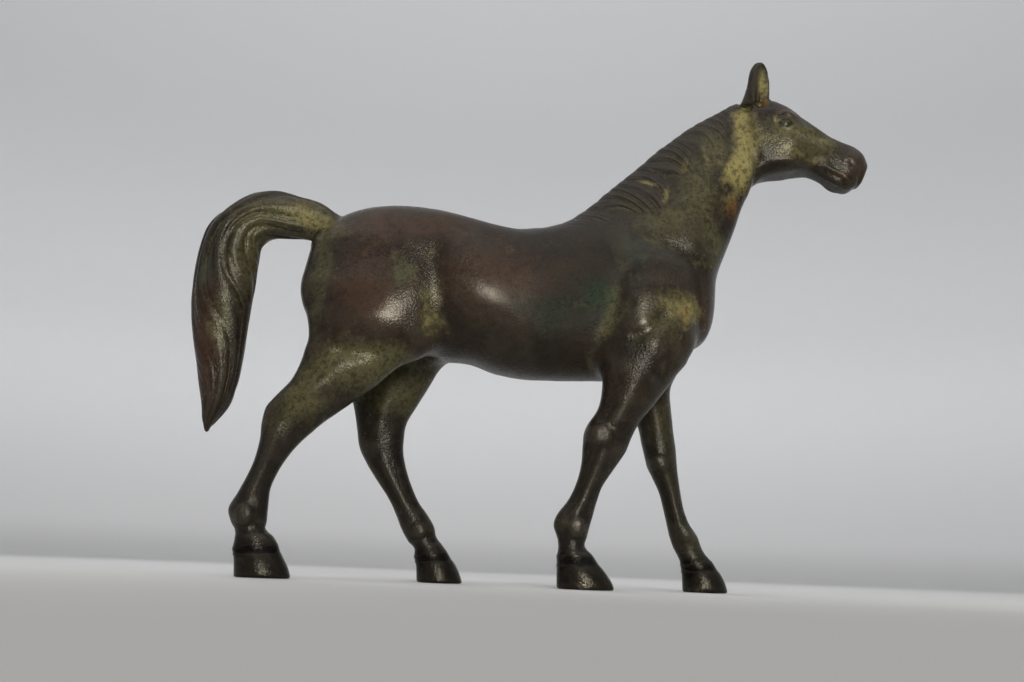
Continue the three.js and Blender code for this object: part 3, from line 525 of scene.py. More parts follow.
def relief(swells, folds, x, z):
    """How far a surface stands out at points of the side view."""
    out = np.zeros(x.shape)
    for cx, cz, rx, rz, height in swells:
        out += height * np.exp(-(((x - cx) / rx) ** 2) - ((z - cz) / rz) ** 2)
    for depth, width, points in folds:
        (low_x, low_z), (high_x, high_z) = np.min(points, 0) - 3 * width, np.max(points, 0) + 3 * width
        near = np.flatnonzero((x > low_x) & (x < high_x) & (z > low_z) & (z < high_z))
        gap, along = from_line(points, x[near], z[near])
        fade = smoothstep(0, 0.25, along) * smoothstep(1, 0.75, along)
        out[near] -= depth * fade * np.exp(-((gap / width) ** 2))
    return out


def knobs(x, z):
    """How far the knobs stand out at points of the side view."""
    out = np.zeros(x.shape)
    for cx, cz, rx, rz, height in KNOBS:
        out += height * np.exp(-((((x - cx) / rx) ** 2 + ((z - cz) / rz) ** 2) ** 2))
    return out


trunk = Form(TRUNK, cap=5, square=2.2, egg=-0.06)
neck = Form(NECK, cap=3, egg=-0.35, blend=8)
head = Form(HEAD, cap=0.9, square=2.3, below=1.7, egg=0.06, blend=4)
tail = Form(TAIL, cap=1.4, blend=2.5)
legs = {
    "near_hind": Form(NEAR_HIND, blend=6),
    "far_hind": Form(FAR_HIND, blend=6),
    "near_fore": Form(NEAR_FORE, blend=6),
    "far_fore": Form(FAR_FORE, blend=6),
}


def ear(side, ahead):
    """The ear on the left side (1) or the right side (-1), moved ahead."""
    rows = [[fx + ahead, fz, bx + ahead, bz, side * y, width] for fx, fz, bx, bz, y, width in EAR]
    return Form(rows, cap=0.6, blend=1.2)


FORMS = [trunk, neck, head, *legs.values(), tail, ear(-1, 0), ear(1, FAR_EAR_AHEAD)]
FAR_AWAY = 1000  # the distance where no form is near
FLANKS = (1.5, 5)  # the muscles and creases fade in between these distances from the horse's middle


def sculpt():
    """The distance from the skin at each node of a grid, and the grid's low corner."""
    low = np.array([-LENGTH / 2 - MARGIN, -BREADTH / 2 - MARGIN, -MARGIN])
    size = np.ceil((np.array([LENGTH, BREADTH, HEIGHT + MARGIN]) + 2 * MARGIN) / CELL).astype(int)
    xs, ys, zs = (low[c] + CELL * np.arange(size[c]) for c in range(3))
    x, z = (a.ravel() for a in np.meshgrid(xs, zs, indexing="ij"))
    y = ys[None, :].astype(np.float32)
    values = np.full((len(x), len(ys)), FAR_AWAY, np.float32)
    for form in FORMS:
        reach = MARGIN * 2 + form.depth.max()
        box = (x > form.x.min() - reach) & (x < form.x.max() + reach)
        box &= (z > form.z.min() - reach) & (z < form.z.max() + reach)
        at = form.place(x[box], z[box])
        near = np.abs(at["across"]) < 1 + 2 * MARGIN / at["depth"]
        at = {key: value[near].astype(np.float32) for key, value in at.items()}
        where = np.flatnonzero(box)[near]
        values[where] = melt(values[where], form.distance(at, y), form.blend)
    raised = relief(SWELLS, FOLDS, x, z) + knobs(x, z)
    values -= raised[:, None].astype(np.float32) * smoothstep(*FLANKS, np.abs(y))
    values = values.reshape(len(xs), len(zs), len(ys)).transpose(0, 2, 1)
    values = np.maximum(values, -zs[None, None, :].astype(np.float32))
    return np.ascontiguousarray(values), low


def corners_of(inside, a, b, p, q):
    """The grid's nodes at the corner (p, q) of every square across the axes a and b."""
    cut = [slice(None)] * 3
    cut[a] = slice(1, None) if p else slice(None, -1)
    cut[b] = slice(1, None) if q else slice(None, -1)
    return inside[tuple(cut)]


def unpinch(values):
    """Lets go of inside grid corners that only touch across a square, because they would pinch the skin."""
    axes = np.eye(3, dtype=int)
    while True:
        inside = values < 0
        changed = False
        for a, b in ((0, 1), (1, 2), (0, 2)):
            i00, i10, i01, i11 = (corners_of(inside, a, b, p, q) for p, q in ((0, 0), (1, 0), (0, 1), (1, 1)))
            for place in np.argwhere((i00 == i11) & (i10 == i01) & (i00 != i10)):
                changed = True
                if inside[tuple(place)]:
                    pair = [tuple(place), tuple(place + axes[a] + axes[b])]
                else:
                    pair = [tuple(place + axes[a]), tuple(place + axes[b])]
                values[max(pair, key=lambda n: values[n])] = 0.01
        if not changed:
            return values


def skin_of(values, low):
    """One vertex in each cell that the skin crosses, and one quad round each grid edge that it crosses."""
    inside = values < 0
    count = np.zeros(np.array(values.shape) - 1, np.int8)
    corners = [(i, j, k) for i in (0, 1) for j in (0, 1) for k in (0, 1)]
    for i, j, k in corners:
        count += inside[i : i - 1 or None, j : j - 1 or None, k : k - 1 or None]
    cells = np.argwhere((count > 0) & (count < 8))
    vertex_of = np.full(count.shape, -1, np.int32)
    vertex_of[tuple(cells.T)] = np.arange(len(cells))
    total, hits = np.zeros((len(cells), 3)), np.zeros(len(cells))
    axes = np.eye(3, dtype=int)
    for corner in corners:
        for axis in range(3):
            if corner[axis]:
                continue
            start = cells + corner
            end = start + axes[axis]
            va, vb = values[tuple(start.T)].astype(float), values[tuple(end.T)].astype(float)
            crossed = (va < 0) != (vb < 0)
            part = np.where(crossed, va / np.where(crossed, va - vb, 1), 0)
            point = np.array(corner, float) + part[:, None] * axes[axis]
            total += np.where(crossed[:, None], point, 0)
            hits += crossed
    points = low + CELL * (cells + total / hits[:, None])
    quads = []
    for axis in range(3):
        u, v = axes[(axis + 1) % 3], axes[(axis + 2) % 3]
        cut = [slice(1, -1)] * 3
        shifted = list(cut)
        shifted[axis] = slice(2, None)
        here, there = inside[tuple(cut)], inside[tuple(shifted)]
        nodes = np.argwhere(here != there) + 1
        ring = [nodes, nodes - u, nodes - u - v, nodes - v]
        quad = np.stack([vertex_of[tuple(r.T)] for r in ring], 1)
        outward = inside[tuple(nodes.T)]
        quads.append(np.where(outward[:, None], quad, quad[:, ::-1]))
    return points, np.vstack(quads)


def make_mesh(name, points, faces):
    mesh = bpy.data.meshes.new(name)
    mesh.vertices.add(len(points))
    mesh.vertices.foreach_set("co", (points * MM).ravel())
    mesh.loops.add(faces.size)
    mesh.loops.foreach_set("vertex_index", faces.ravel())
    mesh.polygons.add(len(faces))
    mesh.polygons.foreach_set("loop_start", np.arange(0, faces.size, faces.shape[1]))
    mesh.update(calc_edges=True)
    mesh.validate()
    return mesh


def read_mesh(mesh):
    """A mesh's points in millimetres, its normals and its edges."""
    points, normals = np.empty(len(mesh.vertices) * 3), np.empty(len(mesh.vertices) * 3)
    edges = np.empty(len(mesh.edges) * 2, int)
    mesh.vertices.foreach_get("co", points)
    mesh.vertex_normals.foreach_get("vector", normals)
    mesh.edges.foreach_get("vertices", edges)
    return points.reshape(-1, 3) / MM, normals.reshape(-1, 3), edges.reshape(-1, 2)


def smoothed(values, edges, rounds):
    """Values at a mesh's points, each averaged with its neighbours a number of times."""
    ends = np.concatenate([edges[:, 0], edges[:, 1]])
    others = np.concatenate([edges[:, 1], edges[:, 0]])
    count = np.bincount(ends, minlength=len(values))
    for _ in range(rounds):
        sums = [np.bincount(ends, column[others], len(values)) for column in values.T]
        values = (values + np.stack(sums, 1) / count[:, None]) / 2
    return values


def chance(number):
    """A fixed number from 0 to 1 for each whole number."""
    return np.modf(np.abs(np.sin(number * 12.9898 + 4.137) * 437.585))[0]


def lock_profile(phase, taper):
    """The height across locks, from 0 in a groove to 1 on a lock's back. A lock comes to a point as its taper
    goes to 0."""
    side = np.abs(2 * np.modf(phase)[0] - 1)
    return np.clip(1 - (side / (0.25 + 0.75 * taper)) ** 2, 0, 1) * smoothstep(0, 0.4, taper)


def mane_locks(x, y, z):
    """The height of the mane's locks, the phase of their hairs, and how clearly the hairs show. Fall is how
    far down the neck a point is from the crest."""
    at = neck.place(x, z)
    t, fall = at["t"], np.clip(1 - at["across"], 0, 2)
    sway = MANE["wobble"] * (np.sin(23 * t + np.sign(y)) + 0.5 * np.sin(41 * t + 2 * fall)) * (0.3 + fall)
    phase = PHASE_START + MANE["locks"] * (t - MANE["lean"] * fall + MANE["curl"] * fall**2) + sway
    lock = np.floor(phase) + LEFT_LOCKS * (y > 0)
    reach = np.interp(t, *np.transpose(MANE_REACH)) * (0.72 + 0.36 * chance(lock))
    taper = np.clip((reach - fall) / MANE["point"], 0, 1)
    height = MANE["height"] * (0.3 + chance(lock + 7)) * lock_profile(phase, taper)
    start = smoothstep(0.02, 0.1, t) * smoothstep(1.0, 0.96, t)
    height *= start * (0.5 + 0.5 * smoothstep(0.05, 0.3, fall))
    return height, phase, smoothstep(0, 0.3, taper) * start


def tail_locks(x, y, z):
    """The height of the tail's locks, the phase of their hairs, and how clearly the hairs show. The locks
    drift round the tail in slow waves, and get low at its dock and towards its tip."""
    at = tail.place(x, z)
    t = at["t"]
    turn = np.arctan2(np.abs(y) / at["width"], at["across"]) / np.pi
    drift = 1.1 * np.sin(4.4 * t + 0.4) + 0.4 * np.sin(12 * t + 5 * turn + np.sign(y))
    phase = PHASE_START + TAIL_HAIR["locks"] * turn + drift
    whole = np.ones(len(x))
    broad = lock_profile(phase, whole)
    strand = phase * TAIL_HAIR["strands"] / TAIL_HAIR["locks"] + 0.8 * np.sin(7 * t)
    fine = lock_profile(strand, whole)
    own = (np.abs(at["across"]) < 1.3) & (np.abs(y) < 1.3 * at["width"])
    start = smoothstep(0.03, 0.14, t) * own
    tip = 1 - 0.65 * smoothstep(0.5, 0.85, t)
    patchy = 0.6 + 0.4 * np.sin(17 * t + 3 * np.floor(phase))
    height = TAIL_HAIR["height"] * (broad - 0.6) + TAIL_HAIR["fine"] * patchy * (fine - 0.6)
    return start * tip * height, phase, start * patchy


def leg_carving(name, x, z):
    """Tendons and bands of a leg, and the stage of each point."""
    leg = legs[name]
    at = leg.place(x, z)
    stage = np.interp(at["t"] * leg.spans, [0, *JOINTS[name], leg.spans], [0, 1, 2, 3, 4])
    across = np.clip(at["across"], -1.2, 1.2)
    out = np.zeros(len(x))
    for first, last, middle, width, height in STREAKS:
        rim = 0.2 * (last - first)
        window = smoothstep(first, first + rim, stage) * smoothstep(last, last - rim, stage)
        out += height * window * np.exp(-(((across - middle) * at["depth"] / width) ** 2))
    for middle, reach, height in BANDS:
        out += height * np.exp(-(((stage - middle) / reach) ** 2))
    return out, stage


def ear_carving(x, z):
    """The hollow and the rims of an ear."""
    depth, width, points = EAR_HOLLOW
    gap, _ = from_line(points, x, z)
    hollow = -depth * smoothstep(1.25 * width, 0.45 * width, gap)
    return hollow + relief([], EAR_RIMS, x, z)


def within(points, low_x, high_x, low_z, high_z, low_y=-BREADTH, high_y=BREADTH):
    """The numbers of the points that lie in a box."""
    x, y, z = points.T
    box = (x > low_x) & (x < high_x) & (z > low_z) & (z < high_z) & (y > low_y) & (y < high_y)
    return np.flatnonzero(box)


# Where each part of the horse lies: low x, high x, low z, high z, and for legs low y and high y.
PLACES = {
    "mane": (0, 66, 78, 156),
    "tail": (-112, -60, 36, 122),
    "face": (64, 108, 118, 153),
    "ears": (60, 74, 143, 168),
    "near_hind": (-88, -22, -1, 80, -22, -3),
    "far_hind": (-68, -12, -1, 80, 3, 22),
    "near_fore": (3, 50, -1, 66, -22, -3),
    "far_fore": (24, 66, -1, 66, 3, 22),
}
RUBBED = {"off": 0.35, "dome": 0.2, "rim": 0.3}  # how worn the knobs' tops are
EYE_RIM = {"length": 1.9, "height": 1.35, "breadth": 0.25, "inside": 0.5}
UNEVEN = [(0.09, 9.0), (0.05, 3.2)]  # height and breadth of the casting's own unevenness
HEAD_STARTS = (54, 66)  # the patches wander less on the head, which begins between these
WANDER = [(2.4, 9.0), (1.6, 3.5)]  # how far, and over what breadth, the edges of the patches wander
WANDER_SEED = 1795671058  # without a seed, the vector noise would be another one in each run
# Hollows are found by smoothing the skin: the rounds, and the depth in millimetres that counts as full.
FINE_HOLLOW, BROAD_HOLLOW = (10, 0.12), (140, 0.6)
DARK_LEGS = (50, 18)  # the legs get dark between these heights,
FAR_LEGS_LIFT = 14  # which are this much higher for the far legs
HOOF_TOPS = (11, 8)  # the hooves begin between these heights


def carve(points, normals):
    """How far each point of the skin moves out along its normal for the fine carving."""
    out = np.zeros(len(points))
    faces_out = np.abs(normals[:, 1])
    here = within(points, *PLACES["mane"])
    height, _, _ = mane_locks(*points[here].T)
    out[here] += height
    here = within(points, *PLACES["tail"])
    height, _, _ = tail_locks(*points[here].T)
    out[here] += height
    here = within(points, *PLACES["face"])
    x, _, z = points[here].T
    out[here] += relief(FACE_SWELLS, FACE_FOLDS, x, z) * smoothstep(0.1, 0.45, faces_out[here])
    here = within(points, *PLACES["ears"])
    x, y, z = points[here].T
    outward = normals[here, 1] * np.sign(y)
    out[here] += ear_carving(x, z) * smoothstep(0.05, 0.5, outward) * smoothstep(1.5, 3, np.abs(y))
    for name in legs:
        here = within(points, *PLACES[name])
        x, _, z = points[here].T
        height, stage = leg_carving(name, x, z)
        out[here] += height * smoothstep(0.3, 0.7, stage)
    for height, breadth in UNEVEN:
        out += height * np.array([noise.noise(Vector(p) / breadth) for p in points.tolist()])
    return out * smoothstep(0, 1, points[:, 2])


def rub_down(points, normals):
    """Rubs the knobs' tops down to slightly domed flats on both sides of each leg."""
    for cx, cz, rx, rz, height in KNOBS:
        away = np.hypot((points[:, 0] - cx) / rx, (points[:, 2] - cz) / rz)
        for side in (-1, 1):
            near = np.flatnonzero((away < 1.5) & (normals[:, 1] * side > 0))
            out = points[near, 1] * side
            top = out.max() - RUBBED["off"] * height - RUBBED["dome"] * away[near] ** 2
            points[near, 1] = side * melt(out, top, RUBBED["rim"])


def blots(patches, x, z):
    """How strong the patches are at points of the side view, from 0 to 1."""
    out = np.zeros(len(x))
    for cx, cz, rx, rz, strength in patches:
        out += strength * np.exp(-(((x - cx) / rx) ** 2) - ((z - cz) / rz) ** 2)
    return np.minimum(out, 1)


def eye_rim(x, z):
    """How dark the eye is at points of the side view: 1 on its rim, and less inside."""
    away = np.hypot((x - EYE[0]) / EYE_RIM["length"], (z - EYE[1]) / EYE_RIM["height"])
    return np.exp(-(((away - 1) / EYE_RIM["breadth"]) ** 2)) + EYE_RIM["inside"] * (away < 1)


def wandered(points):
    """The side view's places of the points, moved about so that the edges of the patches wander."""
    noise.seed_set(WANDER_SEED)
    moves = np.zeros((len(points), 3))
    for reach, breadth in WANDER:
        moves += reach * np.array([noise.noise_vector(Vector(p) / breadth) for p in points.tolist()])
    moves *= (1 - 0.7 * smoothstep(*HEAD_STARTS, points[:, 0]))[:, None]
    return points[:, 0] + moves[:, 0], points[:, 2] + moves[:, 2]


def tint(mesh):
    """Gives the skin's points what the patina and the painted highlights depend on: hollows, ridges, patches
    of colour and hair.
    """
    points, normals, edges = read_mesh(mesh)
    x, z = wandered(points)
    share = 1

    def hollow(rounds, full):
        moved = smoothed(points, edges, int(rounds * share)) - points
        return np.clip(np.einsum("ij,ij->i", moved, normals) / full, -1, 1)

    hair, strands = np.zeros(len(points)), np.zeros(len(points))
    for name, locks in (("mane", mane_locks), ("tail", tail_locks)):
        here = within(points, *PLACES[name])
        _, hair[here], strands[here] = locks(*points[here].T)
    values = {
        "hollow": hollow(*FINE_HOLLOW),
        "deep": hollow(*BROAD_HOLLOW),
        "olive": blots(OLIVE, x, z),
        "ochre": blots(OCHRE, x, z),
        "orange": blots(ORANGE, x, z),
        "verdigris": blots(VERDIGRIS, x, z),
        "ruddy": blots(RUDDY, x, z),
        "polish": blots(POLISHED, x, z),
        "dull": blots(DULL, x, z),
        "eye_rim": eye_rim(points[:, 0], points[:, 2]),
        "dark": smoothstep(*DARK_LEGS, z - FAR_LEGS_LIFT * (points[:, 1] > 0)),
        "hoof": smoothstep(*HOOF_TOPS, points[:, 2]),
        "painted_highlights": blots(PAINTED_HIGHLIGHTS, x, z),
        "hair": hair,
        "strands": strands,
    }
    for name, numbers in values.items():
        mesh.attributes.new(name, "FLOAT", "POINT").data.foreach_set("value", numbers.astype(np.float32))


def make_horse():
    """The whole casting, sculpted, carved, thinned and ready to paint."""
    values, low = sculpt()
    points, quads = skin_of(unpinch(values), low)
    mesh = make_mesh("bronze_horse", points, quads)
    points, normals, edges = read_mesh(mesh)
    points = smoothed(points, edges, 2)
    points += normals * carve(points, normals)[:, None]
    rub_down(points, normals)
    points[:, 2] = np.maximum(points[:, 2], 0)
    mesh.vertices.foreach_set("co", (points * MM).ravel())
    mesh.update()
    horse = bpy.data.objects.new("bronze_horse", mesh)
    bpy.context.scene.collection.objects.link(horse)
    triangles = 2 * len(quads)
    if triangles > TRIANGLES:
        thinner = horse.modifiers.new("thinner", "DECIMATE")
        thinner.ratio = TRIANGLES / triangles
        thinned = bpy.data.meshes.new_from_object(horse.evaluated_get(bpy.context.evaluated_depsgraph_get()))
        horse.modifiers.clear()
        horse.data = thinned
    horse.data.shade_smooth()
    tint(horse.data)
    return horse


# The colours of the patina, and of the bronze under it
BROWN = (0.023, 0.0155, 0.0105, 1)
NEAR_BLACK = (0.009, 0.0075, 0.006, 1)
HOOF_BLACK = (0.0045, 0.004, 0.0035, 1)
RED_BROWN = (0.044, 0.0225, 0.0145, 1)
DULL_OLIVE = (0.076, 0.068, 0.030, 1)
YELLOW_OCHRE = (0.23, 0.195, 0.07, 1)
RUST_ORANGE = (0.13, 0.06, 0.013, 1)
GREY_GREEN = (0.026, 0.043, 0.027, 1)
# Rubbed bronze on the ridges; the same colour is painted on the highlight spots as painted highlights.
RUBBED_BRONZE_AND_HIGHLIGHT = (0.1, 0.085, 0.06, 1)
HIGHLIGHT = (0.61, 0.61, 0.54, 1)
# The patina's patterns, with about so many features in a metre
CLOUDS, FLECKS, MOTTLES, GRAINS, PITS = 70, 420, 750, 1700, 800
HAIRS = 3  # fine hairs in a lock
CAST_GRAIN = 0.00015  # depth of the bump of the cast surface, in metres


class Painter:
    """Adds the nodes of one material. A value is a number, a colour or another node's output."""

    def __init__(self, name):
        self.material = bpy.data.materials.new(name)
        self.material.use_nodes = True
        self.tree = self.material.node_tree
        self.shader = self.tree.nodes["Principled BSDF"]
        self.coordinates = self.tree.nodes.new("ShaderNodeTexCoord").outputs["Object"]

    def put(self, socket, value):
        if isinstance(value, bpy.types.NodeSocket):
            self.tree.links.new(value, socket)
        else:
            socket.default_value = value

    def attribute(self, name):
        new = self.tree.nodes.new("ShaderNodeAttribute")
        new.attribute_name = name
        return new.outputs["Fac"]

    def noise(self, scale, detail=2.0, roughness=0.5):
        new = self.tree.nodes.new("ShaderNodeTexNoise")
        self.put(new.inputs["Vector"], self.coordinates)
        new.inputs["Scale"].default_value = scale
        new.inputs["Detail"].default_value = detail
        new.inputs["Roughness"].default_value = roughness
        return new.outputs["Fac"]

    def along(self, axis):
        """The coordinate along an axis."""
        new = self.tree.nodes.new("ShaderNodeSeparateXYZ")
        self.put(new.inputs["Vector"], self.coordinates)
        return new.outputs[axis]

    def away(self):
        """The distance from the middle."""
        new = self.tree.nodes.new("ShaderNodeVectorMath")
        new.operation = "LENGTH"
        self.put(new.inputs["Vector"], self.coordinates)
        return new.outputs["Value"]

    def dots(self, scale):
        new = self.tree.nodes.new("ShaderNodeTexVoronoi")
        self.put(new.inputs["Vector"], self.coordinates)
        new.inputs["Scale"].default_value = scale
        return new.outputs["Distance"]

    def math(self, operation, a, b=0.0, c=0.0):
        new = self.tree.nodes.new("ShaderNodeMath")
        new.operation = operation
        for socket, value in zip(new.inputs, (a, b, c)):
            self.put(socket, value)
        return new.outputs[0]

    def ramp(self, value, low, high, first=0.0, last=1.0):
        new = self.tree.nodes.new("ShaderNodeMapRange")
        new.interpolation_type = "SMOOTHSTEP"
        for name, number in (("From Min", low), ("From Max", high), ("To Min", first), ("To Max", last)):
            new.inputs[name].default_value = number
        self.put(new.inputs["Value"], value)
        return new.outputs["Result"]

    def mix(self, share, a, b):
        new = self.tree.nodes.new("ShaderNodeMix")
        new.data_type = "RGBA"
        self.put(new.inputs["Factor"], share)
        self.put(new.inputs[6], a)
        self.put(new.inputs[7], b)
        return new.outputs[2]

    def bump(self, height, depth):
        new = self.tree.nodes.new("ShaderNodeBump")
        new.inputs["Distance"].default_value = depth
        self.put(new.inputs["Height"], height)
        self.put(self.shader.inputs["Normal"], new.outputs["Normal"])


def bronze_material():
    """Dark bronze, with patches of patina whose edges are broken up by clouds and flecks."""
    paint = Painter("bronze_patina")
    cloud = paint.noise(CLOUDS, 4, 0.6)
    fleck = paint.noise(FLECKS, 3, 0.6)
    mottle = paint.noise(MOTTLES, 3, 0.7)
    grain = paint.noise(GRAINS, 2, 0.6)
    pits = paint.ramp(paint.dots(PITS), 0.28, 0.12)
    broken = paint.math("MULTIPLY_ADD", cloud, 0.9, paint.math("MULTIPLY_ADD", fleck, 0.7, -0.8))

    def patch(name, low=0.1, high=1.05):
        """How much a patch covers: nothing up to the low strength, and all from the high one."""
        return paint.ramp(paint.math("ADD", paint.attribute(name), broken), low, high)

    hollow = paint.attribute("hollow")
    groove = paint.ramp(hollow, 0.05, 0.9)
    ridge = paint.ramp(hollow, -0.1, -0.8)
    ochre, verdigris, ruddy = patch("ochre"), patch("verdigris"), patch("ruddy", 0.0, 0.9)
    colour = paint.mix(paint.ramp(cloud, 0.35, 0.7), BROWN, NEAR_BLACK)
    colour = paint.mix(ruddy, colour, RED_BROWN)
    colour = paint.mix(patch("deep", 0.1, 1.5), colour, DULL_OLIVE)
    colour = paint.mix(patch("olive"), colour, DULL_OLIVE)
    colour = paint.mix(ochre, colour, YELLOW_OCHRE)
    colour = paint.mix(patch("orange"), colour, RUST_ORANGE)
    colour = paint.mix(verdigris, colour, GREY_GREEN)
    colour = paint.mix(paint.math("MULTIPLY", groove, 0.4), colour, DULL_OLIVE)
    colour = paint.mix(paint.math("MULTIPLY", paint.attribute("dark"), 0.8), colour, NEAR_BLACK)
    colour = paint.mix(paint.math("MULTIPLY", pits, 0.5), colour, NEAR_BLACK)
    colour = paint.mix(paint.ramp(mottle, 0.52, 0.36, 0, 0.6), colour, NEAR_BLACK)
    colour = paint.mix(paint.ramp(grain, 0.45, 0.25, 0, 0.6), colour, NEAR_BLACK)
    colour = paint.mix(paint.math("MULTIPLY", paint.attribute("eye_rim"), 0.6), colour, NEAR_BLACK)
    colour = paint.mix(paint.math("MULTIPLY", paint.attribute("hoof"), 0.9), colour, HOOF_BLACK)
    colour = paint.mix(paint.math("MULTIPLY", ridge, 0.15), colour, RUBBED_BRONZE_AND_HIGHLIGHT)
    # Painted highlights: lighter bronze, broken up by flecks, on the spots where the highlights fall.
    painted_highlights = paint.math("MULTIPLY", paint.attribute("painted_highlights"), paint.ramp(fleck, 0.35, 0.55))
    colour = paint.mix(painted_highlights, colour, RUBBED_BRONZE_AND_HIGHLIGHT)
    paint.put(paint.shader.inputs["Base Color"], colour)

    # Where ochre or verdigris lies loose on the bronze it is dull and no metal shows.
    loose = paint.math("MAXIMUM", ochre, verdigris)
    metal = paint.math("MULTIPLY_ADD", paint.attribute("hoof"), 0.5, paint.ramp(loose, 0, 1, 0.1, 0.0))
    # The painted highlight spots are also more metallic.
    metal = paint.math("MAXIMUM", metal, paint.math("MULTIPLY", painted_highlights, 0.8))
    paint.put(paint.shader.inputs["Metallic"], metal)
    polish = paint.attribute("polish")
    rough = paint.math("MULTIPLY_ADD", fleck, 0.12, paint.ramp(loose, 0, 1, 0.2, 0.5))
    rough = paint.math("MULTIPLY_ADD", polish, -0.04, rough)
    rough = paint.math("MULTIPLY_ADD", paint.attribute("dull"), 0.4, rough)
    rough = paint.math("MULTIPLY_ADD", paint.attribute("hoof"), -0.04, rough)
    rough = paint.math("MULTIPLY_ADD", verdigris, 0.2, rough)
    paint.put(paint.shader.inputs["Roughness"], rough)
    paint.shader.inputs["Specular IOR Level"].default_value = 0.3
    paint.shader.inputs["Specular Tint"].default_value = HIGHLIGHT

    # The finest relief: hairs in the locks, and the grain of the cast surface where it isn't worn smooth.
    turns = paint.math("MULTIPLY", paint.attribute("hair"), 2 * math.pi * HAIRS)
    hairs = paint.math("MULTIPLY", paint.math("SINE", turns), paint.attribute("strands"))
    smooth = paint.ramp(polish, 0.1, 0.9, 1, 0.25)
    cast = paint.math("MULTIPLY", paint.math("MULTIPLY_ADD", fleck, 0.2, grain), smooth)
    paint.bump(paint.math("MULTIPLY_ADD", hairs, 0.25, cast), CAST_GRAIN)
    return paint.material


def spun(name, profile, turns):
    """A surface made by turning a profile of [radius, height] about the z axis."""
    angles = np.linspace(0, 2 * np.pi, turns, endpoint=False)
    points = [[r * math.cos(a), r * math.sin(a), z] for r, z in profile for a in angles]
    faces = [list(range(turns))]
    for row in range(len(profile) - 1):
        for n in range(turns):
            ahead = (n + 1) % turns
            low, high = row * turns, (row + 1) * turns
            faces.append([low + n, high + n, high + ahead, low + ahead])
    mesh = bpy.data.meshes.new(name)
    mesh.from_pydata(points, [], faces)
    mesh.shade_smooth()
    made = bpy.data.objects.new(name, mesh)
    bpy.context.scene.collection.objects.link(made)
    return made


FLOOR_RADIUS, BEND, WALL_HEIGHT = 2.0, 0.7, 2.6  # metres
# The paper's tones even out the light on it, and paint shade on the floor near the camera. The tones: near
# the camera, under the horse, far off on the floor, at the foot of the wall, on the wall (a pair that clouds
# mix) and at its top.
NEAR_SHADE_TONE = (0.36, 0.355, 0.345, 1)
MIDDLE_TONE = (0.575, 0.572, 0.565, 1)
FAR_TONE = (0.46, 0.458, 0.455, 1)
LOW_TONE = (0.585, 0.583, 0.58, 1)
PALE, PALER = (0.82, 0.82, 0.822, 1), (0.845, 0.845, 0.847, 1)
TOP_TONE = (0.65, 0.65, 0.652, 1)


def make_studio():
    """A round floor that bends up into a wall, all of one pale paper."""
    bend = np.linspace(0, math.pi / 2, 13)
    profile = [[0.01, 0], [0.5, 0], [FLOOR_RADIUS, 0]]
    profile += [[FLOOR_RADIUS + BEND * math.sin(a), BEND * (1 - math.cos(a))] for a in bend[1:]]
    profile.append([FLOOR_RADIUS + BEND, WALL_HEIGHT])
    studio = spun("studio", profile, 96)
    paint = Painter("paper")
    tone = paint.mix(paint.noise(25, 3), PALE, PALER)
    tone = paint.mix(paint.ramp(paint.along("Z"), 0.6, 1.4), tone, TOP_TONE)
    # Painted shade: the floor is darker near the camera.
    low = paint.mix(paint.ramp(paint.along("Y"), -0.25, 0.05), NEAR_SHADE_TONE, MIDDLE_TONE)
    low = paint.mix(paint.ramp(paint.away(), 0.3, 0.9), low, FAR_TONE)
    low = paint.mix(paint.ramp(paint.along("Z"), 0, 0.1), low, LOW_TONE)
    tone = paint.mix(paint.ramp(paint.along("Z"), 0, 0.6), low, tone)
    paint.put(paint.shader.inputs["Base Color"], tone)
    paint.shader.inputs["Roughness"].default_value = 0.9
    studio.data.materials.append(paint.material)


# The sky is brighter on the right side of the horse, where the camera is.
SKY = {"From Min": -0.75, "From Max": 0.3, "To Min": 1.75, "To Max": 0.5}
MIDDLE = (0, 0, 0.08)  # the middle of the horse, in metres


def make_lamp(name, place, size, spread, energy, colour):
    """A round lamp that shines at the horse, with its light spread over an angle in degrees."""
    light = bpy.data.lights.new(name, "AREA")
    light.shape = "DISK"
    light.size = size
    light.spread = math.radians(spread)
    light.energy = energy
    light.color = colour
    lamp = bpy.data.objects.new(name, light)
    lamp.location = place
    lamp.rotation_euler = (Vector(place) - Vector(MIDDLE)).to_track_quat("Z", "Y").to_euler()
    lamp.visible_camera = False
    bpy.context.scene.collection.objects.link(lamp)
    return lamp


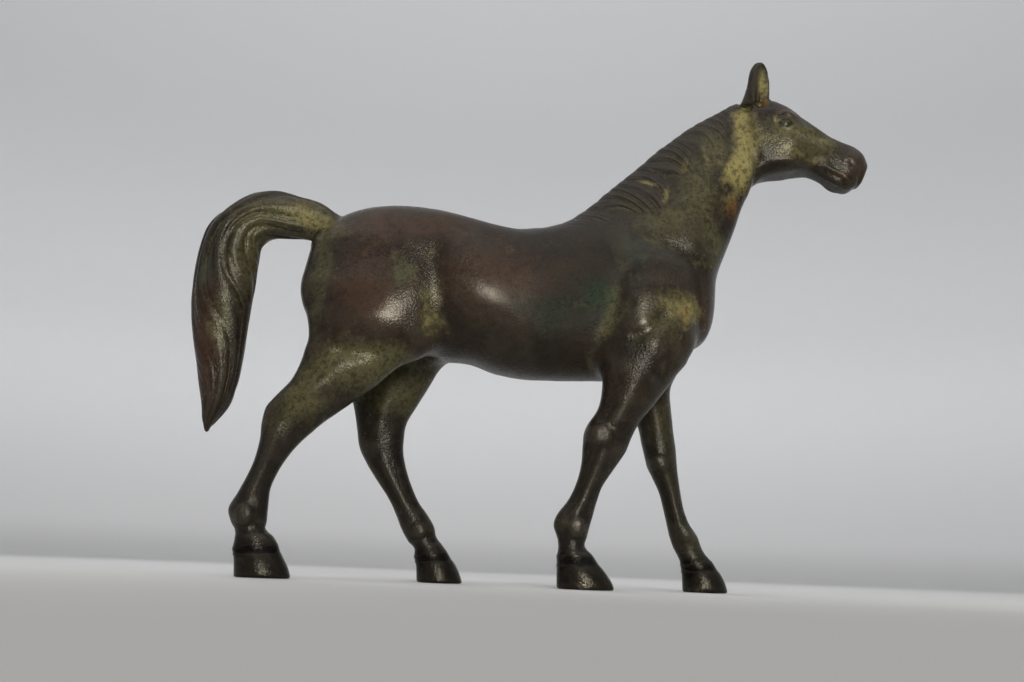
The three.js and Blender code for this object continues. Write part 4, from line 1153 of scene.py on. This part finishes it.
def make_light():
    """A pale sky, a window on the right side, and a weak lamp on the left side that leaves no highlights."""
    world = bpy.data.worlds.new("studio")
    bpy.context.scene.world = world
    world.use_nodes = True
    nodes, links = world.node_tree.nodes, world.node_tree.links
    sky = nodes["Background"]
    sky.inputs["Color"].default_value = (0.97, 0.98, 1, 1)
    direction = nodes.new("ShaderNodeSeparateXYZ")
    links.new(nodes.new("ShaderNodeTexCoord").outputs["Generated"], direction.inputs["Vector"])
    strength = nodes.new("ShaderNodeMapRange")
    for name, number in SKY.items():
        strength.inputs[name].default_value = number
    links.new(direction.outputs["Y"], strength.inputs["Value"])
    links.new(strength.outputs["Result"], sky.inputs["Strength"])
    make_lamp("window", (0.12, -0.98, 0.25), size=0.26, spread=70, energy=1.1, colour=(1, 0.97, 0.91))
    fill = make_lamp("fill", (-0.7, 1.3, 0.8), size=0.7, spread=60, energy=1.0, colour=(1, 1, 1))
    fill.visible_glossy = False
    bpy.context.scene.view_settings.view_transform = "Standard"


# The camera: its place in metres, its tilt and roll in degrees, and its lens in parts of the picture's width
CAMERA = {"place": (-0.0062, -0.2925, 0.005), "tilt": 12.8, "roll": 2.1, "lens": 1000 / 1024}
SENSOR = 36  # the width of the camera's sensor, in millimetres
CLIP_START = 0.001  # metres


def make_camera():
    """The photograph's view: from low on the right side, tilted up and rolled a little."""
    data = bpy.data.cameras.new("camera")
    data.sensor_width = SENSOR
    data.lens = SENSOR * CAMERA["lens"]
    data.clip_start = CLIP_START
    camera = bpy.data.objects.new("camera", data)
    tilt, roll = math.radians(CAMERA["tilt"]), math.radians(CAMERA["roll"])
    turn = Matrix.Rotation(math.pi / 2 + tilt, 4, "X") @ Matrix.Rotation(roll, 4, "Z")
    camera.matrix_world = Matrix.Translation(CAMERA["place"]) @ turn
    bpy.context.scene.collection.objects.link(camera)
    bpy.context.scene.camera = camera


make_camera()
make_light()
make_studio()
horse = make_horse()
horse.data.materials.clear()
horse.data.materials.append(bronze_material())
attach(horse, "root")
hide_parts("horse")
